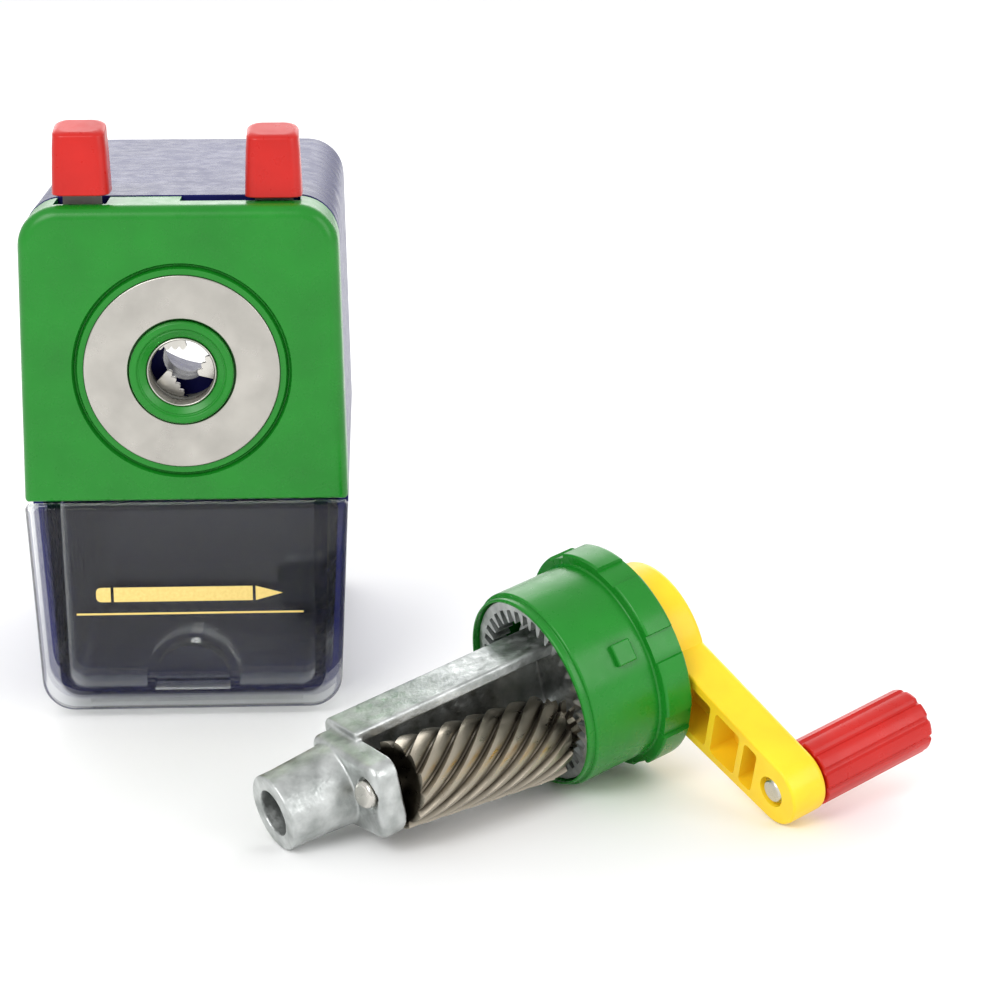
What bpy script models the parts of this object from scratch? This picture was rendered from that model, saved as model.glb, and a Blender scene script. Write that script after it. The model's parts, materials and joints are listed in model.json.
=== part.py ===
"""Desktop pencil sharpener with a sprung auto-feed face, a clear drawer and a
helical cutter unit that twists out of the back of the housing.

Metres, +Z up. The origin is the centre of the underside, the front faces -Y
and +X is to the right as seen from the front. The cutter unit lies on the
table in front of the housing, resting on its nose, its hub and its crank.
"""
import math

import bmesh
import bpy
from mathutils import Matrix, Vector

# ---- driving dimensions -------------------------------------------------

GAP = 0.0003                     # clearance between touching pieces
FRONT = 0.046                    # front face and back face lie this far from the origin
AXIS_HEIGHT = 0.0715             # pencil axis above the table

BODY_TOP = 0.104
BODY_BOTTOM = 0.0015
SEAM = 0.045                     # face plate above, drawer below
HALF_WIDTH_TOP = 0.0306
HALF_WIDTH_SEAM = 0.0318
HALF_WIDTH_BOTTOM = 0.0297
TOP_CORNER = 0.0080
BOTTOM_CORNER = 0.0070
WALL = 0.0020
FACE_DEPTH = 0.0118              # front face to rear edge of the face plate
PAD_THICKNESS = 0.0012

# pencil chuck, measured from the front face backwards
DIAL_RADIUS = 0.0190
DIAL_HOLE = 0.0104
GROOVE_RADIUS = 0.0213
GROOVE_WIDTH = 0.0011
NOSE_RING_RADIUS = 0.0101
FERRULE_RADIUS = 0.0068
PENCIL_ENTRY = 0.0062
PENCIL_GUIDE = 0.0046             # bore of the lip behind the jaws
CHUCK_PLATE_DEPTH = 0.0048
JAW_DEPTH = 0.0064
CLAMP_DEPTH = 0.0082
RETAINER_DEPTH = 0.0099
PLATE = 0.0012
JAW_THICKNESS = 0.0014
CHUCK_RADIUS = 0.0172
JAW_PIVOT = Vector((0.0094, 0.0086))    # from the pencil axis, across and along the jaw's edge
PEG_REST = Vector((0.0094, 0.0010))     # drive peg in the jaw's slot, closed
PEG_OPEN = Vector((0.0068, 0.0046))     # and with the levers squeezed
JAW_EDGE = 0.0029                # serrated edge to the pencil axis
JAW_ANGLES = (90, 210, 330)
SCREW_RING = 0.0136
SCREW_LEAD = -54                 # screw position before each jaw's own angle
CLAMP_RADIUS = 0.0112
LEVER_X = 0.0183                 # middle of each upright lever tab
LEVER_HALF = 0.0037
CAP_FOOT = 0.0342                # underside of the left cap above the pencil axis
CAP_DROP = 0.0012                # the right cap sits this much lower
TAB_IN_CAP = 0.0090

# feed rods and their springs
ROD_X = 0.0250
ROD_HEIGHT = 0.0570
ROD_RADIUS = 0.0020
ROD_BACK = 0.0380
BULKHEAD_THICKNESS = 0.0026
BUSH_LENGTH = 0.0060

# cutter unit, measured along its axis from the nose mouth
NOSE_RADIUS = 0.0071
NOSE_BORE = 0.0043
NOSE_LENGTH = 0.0130
YOKE_BACK = 0.0180
HUB_FRONT = 0.0555
HUB_RADIUS = 0.0193
HUB_STEP = 0.0015
FLANGE_FRONT = 0.0715
FLANGE_RADIUS = 0.0215
HUB_BACK = 0.0775
HUB_BORE = 0.0181
SPINDLE_RADIUS = 0.0050
RING_FRONT = 0.0567
RING_LENGTH = 0.0040
RING_TEETH = 36
RING_ROOT = 0.0161
RING_TIP = 0.0136
PINION_TEETH = 14
PINION_ROOT = 0.0038
PINION_TIP = 0.0060
CUTTER_RADIUS = 0.0080
CUTTER_FLUTES = 12
CUTTER_FRONT = 0.0032            # along the cutter's own axis, from its small end point
CUTTER_BACK = 0.0398
PINION_WIDTH = 0.0020
CUTTER_HELIX = 38                # degrees from the cutter's axis
CUTTER_SMALL_END = (0.0018, 0.0117, 0.0160)     # cutter axis where it leaves the yoke
CUTTER_LARGE_END = (-0.0070, 0.0049, 0.0525)    # and at the ring gear end
AXLE_RADIUS = 0.0016
CRANK_RADIUS = 0.0430            # pencil axis to knob axis
CRANK_THICKNESS = 0.0080
CRANK_HUB_RADIUS = 0.0145
CRANK_TIP_RADIUS = 0.0065
KNOB_RADIUS = 0.0063
KNOB_LENGTH = 0.0260
UNIT_HEADING = 30.5              # unit axis in plan, degrees from +X towards +Y
UNIT_REST = (0.0198, -0.1119)    # where the nose rim touches the table

NAVY, GREEN, RED, YELLOW, CLEAR, STEEL, BRIGHT, ZINC, GREY, RUBBER = (
    "navy_plastic", "green_plastic", "red_plastic", "yellow_plastic", "clear_plastic",
    "cutter_steel", "bright_steel", "cast_zinc", "grey_plastic", "rubber")
FINISHES = {                     # colour, roughness, metallic
    NAVY: ((0.010, 0.010, 0.085), 0.35, 0.0),
    GREEN: ((0.015, 0.260, 0.022), 0.32, 0.0),
    RED: ((0.620, 0.012, 0.008), 0.35, 0.0),
    YELLOW: ((1.000, 0.660, 0.020), 0.35, 0.0),
    CLEAR: ((0.830, 0.860, 0.860), 0.08, 0.0),
    STEEL: ((0.210, 0.180, 0.150), 0.35, 1.0),
    BRIGHT: ((0.620, 0.600, 0.570), 0.28, 1.0),
    ZINC: ((0.320, 0.330, 0.320), 0.50, 1.0),
    GREY: ((0.200, 0.200, 0.180), 0.55, 0.0),
    RUBBER: ((0.020, 0.020, 0.020), 0.85, 0.0),
}


# ---- modelling helpers --------------------------------------------------

def clear_scene():
    """Remove everything the file opened with and make the two collections."""
    for old in list(bpy.data.objects):
        bpy.data.objects.remove(old)
    for name in ("pencil_sharpener", "cutters"):
        bpy.context.scene.collection.children.link(bpy.data.collections.new(name))


def finish_material(finish):
    """The Principled material of one finish, made once."""
    if finish in bpy.data.materials:
        return bpy.data.materials[finish]
    colour, roughness, metallic = FINISHES[finish]
    made = bpy.data.materials.new(finish)
    made.use_nodes = True
    shader = made.node_tree.nodes["Principled BSDF"]
    shader.inputs["Base Color"].default_value = (*colour, 1.0)
    shader.inputs["Roughness"].default_value = roughness
    shader.inputs["Metallic"].default_value = metallic
    return made


def add_object(name, data, frame, finish=None):
    """Link a piece, or a hidden cutter when it has no finish, under its frame."""
    piece = bpy.data.objects.new(name, data)
    piece.parent = frame
    if finish is None:
        bpy.data.collections["cutters"].objects.link(piece)
        piece.hide_render = True
        piece.display_type = "WIRE"
    else:
        bpy.data.collections["pencil_sharpener"].objects.link(piece)
        data.materials.append(finish_material(finish))
    return piece


def mesh_from(bm, name, smooth_under=40):
    """Turn a bmesh into mesh data with outward faces, smooth below an angle."""
    bmesh.ops.recalc_face_normals(bm, faces=bm.faces)
    mesh = bpy.data.meshes.new(name)
    bm.to_mesh(mesh)
    bm.free()
    mesh.shade_smooth()
    mesh.set_sharp_from_angle(angle=math.radians(smooth_under))
    return mesh


def make_frame(name, matrix):
    """An empty that carries the pieces of one assembly."""
    frame = bpy.data.objects.new(name, None)
    bpy.data.collections["pencil_sharpener"].objects.link(frame)
    frame.matrix_world = matrix
    return frame


def polar(radius, degrees):
    """A point of the XY plane from its radius and angle."""
    angle = math.radians(degrees)
    return Vector((radius * math.cos(angle), radius * math.sin(angle)))


def rounded(corners, steps=4):
    """Outline through (x, y, fillet radius) corners, each fillet an arc."""
    points = []
    for index, (x, y, radius) in enumerate(corners):
        corner = Vector((x, y))
        if radius == 0:
            points.append(corner)
            continue
        before = (Vector(corners[index - 1][:2]) - corner).normalized()
        after = (Vector(corners[(index + 1) % len(corners)][:2]) - corner).normalized()
        half = before.angle(after) / 2
        centre = corner + (before + after).normalized() * radius / math.sin(half)
        start = corner + before * radius / math.tan(half) - centre
        turn = start.angle_signed(corner + after * radius / math.tan(half) - centre)
        for step in range(steps + 1):
            points.append(centre + Matrix.Rotation(-turn * step / steps, 2) @ start)
    return points


def arc(centre, radius, first, last, steps):
    """Points of an arc, from one angle in degrees to another."""
    sweep = last - first
    return [Vector(centre) + polar(radius, first + sweep * step / steps) for step in range(steps + 1)]


def lofted(name, layers, frame, finish=None):
    """A closed body through (outline, z) layers whose outlines have equal counts."""
    bm = bmesh.new()
    rings = [[bm.verts.new((*point, height)) for point in outline] for outline, height in layers]
    for lower, upper in zip(rings, rings[1:]):
        for index, vert in enumerate(lower):
            after = (index + 1) % len(lower)
            bm.faces.new((vert, lower[after], upper[after], upper[index]))
    bm.faces.new(rings[0])
    bm.faces.new(rings[-1])
    return add_object(name, mesh_from(bm, name), frame, finish)


def extruded(name, outline, low, high, frame, finish=None, twist=0.0, steps=1):
    """A prism of an XY outline from z = low to high, twisted by radians if asked."""
    layers = []
    for step in range(steps + 1):
        share = step / steps
        turn = Matrix.Rotation(twist * share, 2)
        layers.append(([turn @ Vector(point) for point in outline], low + (high - low) * share))
    return lofted(name, layers, frame, finish)


def filleted(name, outline, flat, crown, radius, frame, finish=None, steps=2):
    """A prism from z = flat to z = crown whose crown edge is round.

    outline is a function of the inset that gives the section's points.
    """
    layers = [(outline(0.0), flat)]
    rise = math.copysign(radius, crown - flat)
    for step in range(steps + 1):
        angle = math.radians(90 * step / steps)
        layers.append((outline(radius * (1 - math.cos(angle))), crown - rise * (1 - math.sin(angle))))
    return lofted(name, layers, frame, finish)


def turned(name, profile, frame, finish=None, steps=28):
    """A body of revolution about local Z from a closed (radius, z) profile."""
    area = sum(a[0] * b[1] - b[0] * a[1] for a, b in zip(profile, profile[1:] + profile[:1]))
    if area > 0:
        profile = profile[::-1]
    on_axis = [index for index, point in enumerate(profile) if point[0] == 0]
    if on_axis:                  # open the loop along the axis
        first = next(i for i in on_axis if (i + 1) % len(profile) not in on_axis)
        profile = profile[first:] + profile[:first]
    count = len(profile)
    edges = [(i, i + 1) for i in range(count - 1)]
    if not on_axis:
        edges.append((count - 1, 0))
    mesh = bpy.data.meshes.new(name)
    mesh.from_pydata([(radius, 0, height) for radius, height in profile], edges, [])
    piece = add_object(name, mesh, frame, finish)
    screw = piece.modifiers.new("turned", "SCREW")
    screw.steps = screw.render_steps = steps
    screw.use_merge_vertices = True
    screw.merge_threshold = 0.00001
    screw.use_smooth_shade = False
    return piece


def cylinder(name, radius, low, high, frame, finish=None, at=(0, 0), steps=16):
    """A plain round bar along local Z."""
    bar = turned(name, [(0, low), (radius, low), (radius, high), (0, high)], frame, finish, steps)
    bar.location = (at[0], at[1], 0)
    return bar


def tube(name, outer, inner, low, high, frame, finish=None, at=(0, 0), steps=28):
    """A plain ring or tube along local Z."""
    ring = turned(name, [(outer, low), (outer, high), (inner, high), (inner, low)],
                  frame, finish, steps)
    ring.location = (at[0], at[1], 0)
    return ring


def block(name, low, high, frame, finish=None):
    """A box between two corners of its frame."""
    bm = bmesh.new()
    size = Vector(high) - Vector(low)
    middle = (Vector(high) + Vector(low)) / 2
    matrix = Matrix.Translation(middle) @ Matrix.Diagonal((*size, 1))
    bmesh.ops.create_cube(bm, size=1, matrix=matrix)
    return add_object(name, mesh_from(bm, name), frame, finish)


def combine(piece, other, operation="DIFFERENCE", solver="EXACT"):
    """Cut a piece by, or join it to, a hidden shape.

    The triangles keep the many-sided faces with holes closed for the next cut.
    """
    modifier = piece.modifiers.new(f"{operation.lower()} {other.name}", "BOOLEAN")
    modifier.operation = operation
    modifier.solver = solver
    modifier.object = other
    piece.modifiers.new("triangles", "TRIANGULATE")
    return piece


def coil(name, radius, wire, low, high, turns, frame, finish, at=(0, 0), per_turn=14):
    """A coil spring along local Z, a polyline curve with a round section."""
    data = bpy.data.curves.new(name, "CURVE")
    data.dimensions = "3D"
    data.bevel_depth = wire
    data.bevel_resolution = 0
    data.use_fill_caps = True
    count = round(turns * per_turn) + 1
    spline = data.splines.new("POLY")
    spline.points.add(count - 1)
    for index, point in enumerate(spline.points):
        share = index / (count - 1)
        x, y = polar(radius, 360 * turns * share)
        point.co = (x + at[0], y + at[1], low + wire + (high - low - 2 * wire) * share, 1)
    return add_object(name, data, frame, finish)


# ---- outlines -----------------------------------------------------------

def half_width(height):
    """Half the body's width at a height: widest at the seam."""
    if height > SEAM:
        share = (height - SEAM) / (BODY_TOP - SEAM)
        return HALF_WIDTH_SEAM + (HALF_WIDTH_TOP - HALF_WIDTH_SEAM) * share
    share = (height - BODY_BOTTOM) / (SEAM - BODY_BOTTOM)
    return HALF_WIDTH_BOTTOM + (HALF_WIDTH_SEAM - HALF_WIDTH_BOTTOM) * share


def body_outline(bottom, top, bottom_radius, top_radius, inset=0.0, lift=0.0):
    """Front outline of the body between two heights, mirrored left and right.

    inset draws the sides and the top in, and lift raises the bottom edge.
    """
    sharpest = 0.0002
    low, high = bottom + lift, top - inset
    right = [(half_width(bottom) - inset, low, max(bottom_radius - inset, sharpest))]
    if bottom < SEAM < top:
        right.append((half_width(SEAM) - inset, SEAM, 0))
    right.append((half_width(top) - inset, high, max(top_radius - inset, sharpest)))
    left = [(-x, height, radius) for x, height, radius in reversed(right)]
    return rounded(right + left)


# ---- housing ------------------------------------------------------------

def build_housing(front):
    """Navy shell with its drawer bay, ledges and the socket for the cutter hub."""
    face_back = FRONT - FACE_DEPTH
    shell = filleted("housing_shell",
                     lambda inset: body_outline(BODY_BOTTOM, BODY_TOP, BOTTOM_CORNER, TOP_CORNER, inset, inset),
                     face_back - GAP, -FRONT, 0.0020, front, NAVY)
    rear_wall = 0.0028 - FRONT
    hollow = extruded("hollow", body_outline(BODY_BOTTOM, BODY_TOP, BOTTOM_CORNER, TOP_CORNER, WALL, WALL),
                      rear_wall, FRONT, front)
    combine(shell, hollow)
    for side in (-1, 1):
        outer, inner = sorted((side * (HALF_WIDTH_SEAM - 0.001), side * 0.0235))
        ledge = block("ledge", (outer, SEAM + 0.0006, rear_wall - 0.001),
                      (inner, SEAM + 0.0022, face_back - 0.006), front)
        combine(shell, ledge, "UNION")
    socket = cylinder("socket", HUB_RADIUS + 0.0024, rear_wall - 0.001, rear_wall + 0.0130, front, steps=40)
    socket.location.y = AXIS_HEIGHT
    combine(shell, socket, "UNION")
    bore = cylinder("hub_bore", HUB_RADIUS + GAP, -FRONT - 0.002, rear_wall + 0.0140, front, steps=40)
    bore.location.y = AXIS_HEIGHT
    combine(shell, bore)
    for turn in (0, 180):
        slot = block("bayonet_slot", (HUB_RADIUS - 0.003, -0.0026, -FRONT - 0.002),
                     (HUB_RADIUS + 0.0014, 0.0026, rear_wall + 0.0150), front)
        slot.location.y = AXIS_HEIGHT
        slot.rotation_euler.z = math.radians(turn)
        combine(shell, slot)
    pad_half = HALF_WIDTH_BOTTOM - BOTTOM_CORNER - 0.001
    pad = block("base_pad", (-pad_half, 0, 0.0035 - FRONT), (pad_half, PAD_THICKNESS, face_back - 0.0035),
                front, RUBBER)
    return shell, pad


def build_bulkhead(front):
    """Plate behind the face that guides the feed rods and the cutter nose."""
    face_back = FRONT - FACE_DEPTH
    high = face_back - 0.0010
    low = high - BULKHEAD_THICKNESS
    outline = body_outline(SEAM + 0.0028, BODY_TOP, 0.0015, TOP_CORNER, WALL + GAP)
    plate = extruded("front_bulkhead", outline, low, high, front, NAVY)
    hole = cylinder("nose_hole", NOSE_RADIUS + 0.0022, low - 0.001, high + 0.001, front)
    hole.location.y = AXIS_HEIGHT
    combine(plate, hole)
    for side in (-1, 1):
        rod_hole = cylinder("rod_hole", ROD_RADIUS + 0.0014, low - 0.001, high + 0.001, front,
                            at=(side * ROD_X, ROD_HEIGHT), steps=16)
        combine(plate, rod_hole)
    nose_bush = turned("nose_bearing_bush",
                       [(NOSE_RADIUS + 0.0019, high), (NOSE_RADIUS + 0.0019, low - GAP),
                        (NOSE_RADIUS + 0.0030, low - GAP), (NOSE_RADIUS + 0.0030, low - 0.0101),
                        (NOSE_RADIUS + 0.0005, low - 0.0101), (NOSE_RADIUS + 0.0003, FRONT - 0.0202),
                        (PENCIL_GUIDE, FRONT - 0.0202), (PENCIL_GUIDE, high)],
                       front, NAVY, steps=32)
    nose_bush.location.y = AXIS_HEIGHT
    for side, name in ((-1, "left"), (1, "right")):
        bush = turned(f"rod_bush_{name}",
                      [(ROD_RADIUS + 0.0011, high), (ROD_RADIUS + 0.0011, low - GAP),
                       (ROD_RADIUS + 0.0021, low - GAP), (ROD_RADIUS + 0.0021, high - BUSH_LENGTH),
                       (ROD_RADIUS + 0.0001, high - BUSH_LENGTH), (ROD_RADIUS + 0.0001, high)],
                      front, GREY, steps=20)
        bush.location = (side * ROD_X, ROD_HEIGHT, 0)
        spring_front = high - BUSH_LENGTH - GAP
        coil(f"feed_spring_{name}", ROD_RADIUS + 0.0009, 0.00035, GAP - ROD_BACK + 0.0012, spring_front,
             9, front, BRIGHT, at=(side * ROD_X, ROD_HEIGHT), per_turn=10)


# ---- drawer -------------------------------------------------------------

def build_drawer(front):
    """Clear shavings drawer: a full-width front, a narrower tray and a finger recess."""
    panel_top = SEAM - 0.0005
    panel_bottom = BODY_BOTTOM + 0.0002
    panel_back = FRONT - 0.0030
    drawer = filleted("drawer_bin",
                      lambda inset: body_outline(panel_bottom, panel_top, BOTTOM_CORNER - 0.0005, 0.0008,
                                                 inset, inset),
                      panel_back, FRONT, 0.0010, front, CLEAR)
    floor = BODY_BOTTOM + WALL + 0.0006
    half = HALF_WIDTH_BOTTOM - WALL - 0.0012
    tray_top = SEAM - 0.0008
    tray_outline = rounded([(half, floor, 0.004), (half + 0.0012, tray_top, 0),
                            (-half - 0.0012, tray_top, 0), (-half, floor, 0.004)])
    tray = extruded("tray", tray_outline, -FRONT + 0.0050, FRONT - 0.001, front)
    combine(drawer, tray, "UNION")
    inside = rounded([(half - 0.0020, floor + 0.0020, 0.003), (half - 0.0008, BODY_TOP, 0),
                      (-half + 0.0008, BODY_TOP, 0), (-half + 0.0020, floor + 0.0020, 0.003)])
    scoop = extruded("scoop", inside, -FRONT + 0.0070, FRONT - 0.0026, front)
    combine(drawer, scoop)
    shelter = extruded("recess_wall", finger_arch(0.0018, floor), FRONT - 0.0070, FRONT - 0.001, front)
    combine(drawer, shelter, "UNION")
    recess = extruded("recess", finger_arch(0.0, BODY_BOTTOM + 0.0045), FRONT - 0.0052, FRONT + 0.001, front)
    combine(drawer, recess)
    for side, name in ((-1, "left"), (1, "right")):
        x = side * (half + 0.0016)
        catch = block(f"catch_{name}", (min(x - side * 0.002, x), floor + 0.0055, FRONT - 0.0120),
                      (max(x - side * 0.002, x), floor + 0.0085, FRONT - 0.0090), front)
        combine(drawer, catch, "UNION")
    return drawer


def finger_arch(margin, bottom):
    """Arch outline of the finger recess, grown by a margin."""
    radius = 0.0075 + margin
    return [Vector((-radius, bottom)), *reversed(arc((0, 0.0078), radius, 0, 180, 12)), Vector((radius, bottom))]


# ---- face plate and pencil chuck ----------------------------------------

def build_face(front, chuck):
    """Green face plate with its dial ring, nose ring and feed rods."""
    back = FRONT - FACE_DEPTH
    face = filleted("face_plate",
                    lambda inset: body_outline(SEAM + 0.0002, BODY_TOP - 0.0002, 0.0008, TOP_CORNER,
                                               inset, inset / 3),
                    back, FRONT, 0.0026, front, GREEN)
    hollow = extruded("face_hollow", body_outline(SEAM, BODY_TOP - 0.0002, 0.0008, TOP_CORNER, WALL, WALL),
                      back - 0.001, FRONT - WALL, front)
    combine(face, hollow)
    groove = tube("groove", GROOVE_RADIUS, GROOVE_RADIUS - GROOVE_WIDTH, -0.0008, 0.001, chuck, steps=36)
    seat = cylinder("dial_seat", DIAL_RADIUS + GAP, -0.0010, 0.001, chuck, steps=36)
    hole = cylinder("chuck_hole", NOSE_RING_RADIUS + GAP - 0.0020, -0.004, 0.001, chuck, steps=28)
    for cutter in (groove, seat, hole):
        combine(face, cutter)
    for low, high, depth in ((-0.0238, -0.0136, 0.0084), (0.0002, 0.0234, 0.0054)):
        notch = block("lever_notch", (low, BODY_TOP - 0.006, back - 0.001), (high, BODY_TOP + 0.002, back + depth),
                      front)
        combine(face, notch)
    for side in (-1, 1):
        boss = cylinder("rod_boss", ROD_RADIUS + 0.0020, back + 0.0028, FRONT - 0.001, front,
                        at=(side * ROD_X, ROD_HEIGHT), steps=20)
        combine(face, boss, "UNION")
        socket = cylinder("rod_socket", ROD_RADIUS + GAP, back, FRONT - 0.0035, front,
                          at=(side * ROD_X, ROD_HEIGHT), steps=20)
        combine(face, socket)
    for angle in JAW_ANGLES:
        place = polar(SCREW_RING, angle + SCREW_LEAD)
        combine(face, cylinder("screw_boss", 0.0024, 0.0004 - CHUCK_PLATE_DEPTH, -0.0010, chuck, at=place, steps=16),
                "UNION")
        combine(face, cylinder("screw_socket", 0.0013, -0.006, -0.0018, chuck, at=place, steps=12))
    turned("dial_ring", [(DIAL_RADIUS, -0.0006), (DIAL_RADIUS, 0.0001), (DIAL_RADIUS - 0.0003, 0.0004),
                         (DIAL_HOLE + 0.0003, 0.0004), (DIAL_HOLE, 0.0001), (DIAL_HOLE, -0.0006)],
           chuck, BRIGHT, steps=36)
    turned("nose_ring", [(NOSE_RING_RADIUS, -0.0006), (NOSE_RING_RADIUS, 0.0010),
                         (NOSE_RING_RADIUS - 0.0008, 0.0016), (0.0078, 0.0016), (0.0074, 0.0009),
                         (FERRULE_RADIUS + GAP, 0.0009), (FERRULE_RADIUS + GAP, -0.0030),
                         (NOSE_RING_RADIUS - 0.0020, -0.0030), (NOSE_RING_RADIUS - 0.0020, -0.0006)],
           chuck, GREEN, steps=32)
    turned("nose_ferrule", [(FERRULE_RADIUS, -0.0030), (FERRULE_RADIUS, 0.0009),
                            (FERRULE_RADIUS - 0.0003, 0.0012), (PENCIL_ENTRY + 0.0003, 0.0012),
                            (PENCIL_ENTRY, 0.0008), (PENCIL_ENTRY, -0.0030)], chuck, BRIGHT, steps=28)
    for side, name in ((-1, "left"), (1, "right")):
        place = (side * ROD_X, ROD_HEIGHT)
        cylinder(f"guide_rod_{name}", ROD_RADIUS, -ROD_BACK, FRONT - 0.0038, front, BRIGHT, at=place, steps=16)
        tube(f"rod_clip_{name}", ROD_RADIUS + 0.0016, ROD_RADIUS + 0.0001, -ROD_BACK + 0.0004, -ROD_BACK + 0.0012,
             front, BRIGHT, at=place, steps=16)


def tab_outline(side, root, top):
    """Upright lever tab from its root on the chuck disc; side -1 is left, 1 is right."""
    middle = side * LEVER_X
    lower, upper = (polar(root, 90 - side * angle) for angle in (40, 12))
    outer, inner = middle + side * LEVER_HALF, middle - side * LEVER_HALF
    points = [lower, Vector((outer, 0.0205)), Vector((outer, top)), Vector((inner, top)),
              Vector((inner, 0.0240)), upper, polar(root - 0.0012, 90 - side * 26)]
    return points if side > 0 else points[::-1]


def lever_cap(name, side, depth, foot, chuck):
    """Tapered red finger cap, hollow over the end of its lever tab."""
    height = 0.0140
    layers = []
    for level, draw in ((0.0, 0.0), (0.25, 0.0001), (0.5, 0.00025), (0.75, 0.0004), (0.93, 0.0006), (1.0, 0.0012)):
        wide, deep = 0.0055 - draw, 0.0044 - draw
        ring = rounded([(wide, -deep, 0.0022), (wide, deep, 0.0022), (-wide, deep, 0.0022),
                        (-wide, -deep, 0.0022)], steps=3)
        layers.append((ring, level * height))
    cap = lofted(name, layers, chuck, RED)
    cap.matrix_basis = Matrix.Translation((side * LEVER_X, foot, -depth)) @ Matrix.Rotation(-math.pi / 2, 4, "X")
    slit = block("cap_slit", (-LEVER_HALF - GAP, -PLATE / 2 - GAP, -0.001),
                 (LEVER_HALF + GAP, PLATE / 2 + GAP, TAB_IN_CAP + GAP), chuck)
    slit.matrix_basis = cap.matrix_basis
    return combine(cap, slit)


def jaw_outline():
    """One jaw about its pivot: local X runs away from the pencil axis, Y along the serrated edge."""
    teeth, pitch, depth, start = 5, 0.0015, 0.0007, -0.0006
    edge = []
    for tooth in range(teeth):
        along = start + tooth * pitch
        edge += [Vector((JAW_EDGE + depth, along)), Vector((JAW_EDGE, along + pitch / 2))]
    edge.append(Vector((JAW_EDGE + depth, start + teeth * pitch)))
    back = rounded([(0.0060, 0.0092, 0.0010), (0.0100, 0.0112, 0.0018), (0.0130, 0.0080, 0.0018),
                    (0.0124, -0.0012, 0.0010)], steps=3)
    return [point - JAW_PIVOT for point in [*edge, *back]]


def build_chuck(chuck):
    """Lever plates, jaws, pins, screws and return spring behind the face plate."""
    fixed = cylinder("chuck_plate", CHUCK_RADIUS, -CHUCK_PLATE_DEPTH - PLATE, -CHUCK_PLATE_DEPTH, chuck, GREY,
                     steps=32)
    left_tab = extruded("left_tab", tab_outline(-1, CHUCK_RADIUS - 0.0010, CAP_FOOT + TAB_IN_CAP),
                        -CHUCK_PLATE_DEPTH - PLATE, -CHUCK_PLATE_DEPTH, chuck)
    combine(fixed, left_tab, "UNION")
    entry = cylinder("plate_hole", PENCIL_ENTRY + 0.0004, -0.020, 0.0, chuck, steps=32)
    combine(fixed, entry)
    swing = tube("clamp_ring", CLAMP_RADIUS, 0.0070, -CLAMP_DEPTH - PLATE, -CLAMP_DEPTH, chuck, GREY)
    right_tab = extruded("right_tab", tab_outline(1, CLAMP_RADIUS - 0.0004, CAP_FOOT - CAP_DROP + TAB_IN_CAP),
                         -CLAMP_DEPTH - PLATE, -CLAMP_DEPTH, chuck)
    combine(swing, right_tab, "UNION")
    retainer = tube("chuck_retainer", CHUCK_RADIUS, 0.0072, -RETAINER_DEPTH - PLATE, -RETAINER_DEPTH, chuck,
                    GREY, steps=40)
    slot = slot_outline(PEG_REST - JAW_PIVOT, PEG_OPEN - JAW_PIVOT, 0.0012)
    for number, angle in enumerate(JAW_ANGLES, start=1):
        turn = Matrix.Rotation(math.radians(angle), 2)
        pivot, peg_at = turn @ JAW_PIVOT, turn @ PEG_REST
        jaw = extruded(f"jaw_{number}", jaw_outline(), -JAW_DEPTH - JAW_THICKNESS, -JAW_DEPTH, chuck, BRIGHT)
        cam = extruded("cam_slot", slot, -0.012, 0.0, chuck)
        for placed in (jaw, cam):
            placed.location = (*pivot, 0)
            placed.rotation_euler.z = math.radians(angle)
        pin_hole = cylinder("pin_hole", 0.0012, -0.020, 0.0, chuck, at=pivot, steps=16)
        for piece, cutter in ((jaw, cam), (jaw, pin_hole), (fixed, pin_hole), (retainer, pin_hole)):
            combine(piece, cutter)
        cylinder(f"jaw_pin_{number}", 0.0009, -RETAINER_DEPTH - PLATE - GAP, -CHUCK_PLATE_DEPTH + 0.0004,
                 chuck, BRIGHT, at=pivot, steps=12)
        peg = cylinder("drive_peg", 0.0008, -CLAMP_DEPTH - 0.0006, -JAW_DEPTH - 0.0002, chuck, at=peg_at, steps=12)
        combine(swing, peg, "UNION")
        screw_at = polar(SCREW_RING, angle + SCREW_LEAD)
        screw_hole = cylinder("screw_hole", 0.0013, -0.020, 0.0, chuck, at=screw_at, steps=12)
        combine(fixed, screw_hole)
        combine(retainer, screw_hole)
        screw = turned(f"chuck_screw_{number}",
                       [(0, -0.0022), (0.0010, -0.0022), (0.0010, -RETAINER_DEPTH - PLATE - GAP),
                        (0.0020, -RETAINER_DEPTH - PLATE - GAP), (0.0017, -RETAINER_DEPTH - PLATE - 0.0012),
                        (0, -RETAINER_DEPTH - PLATE - 0.0012)], chuck, BRIGHT, steps=12)
        screw.location = (screw_at.x, screw_at.y, 0)
    lever_cap("left_lever_cap", -1, CHUCK_PLATE_DEPTH + PLATE / 2, CAP_FOOT, chuck)
    lever_cap("right_lever_cap", 1, CLAMP_DEPTH + PLATE / 2, CAP_FOOT - CAP_DROP, chuck)
    coil("lever_return_spring", 0.0072, 0.00035, -CHUCK_PLATE_DEPTH + GAP, -0.0032, 1.75, chuck, BRIGHT, per_turn=14)


def slot_outline(start, end, radius):
    """Round-ended slot between two points."""
    along = math.degrees(math.atan2(end.y - start.y, end.x - start.x))
    return [*arc(start, radius, along + 90, along + 270, 6), *arc(end, radius, along - 90, along + 90, 6)]


# ---- cutter unit --------------------------------------------------------

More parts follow.
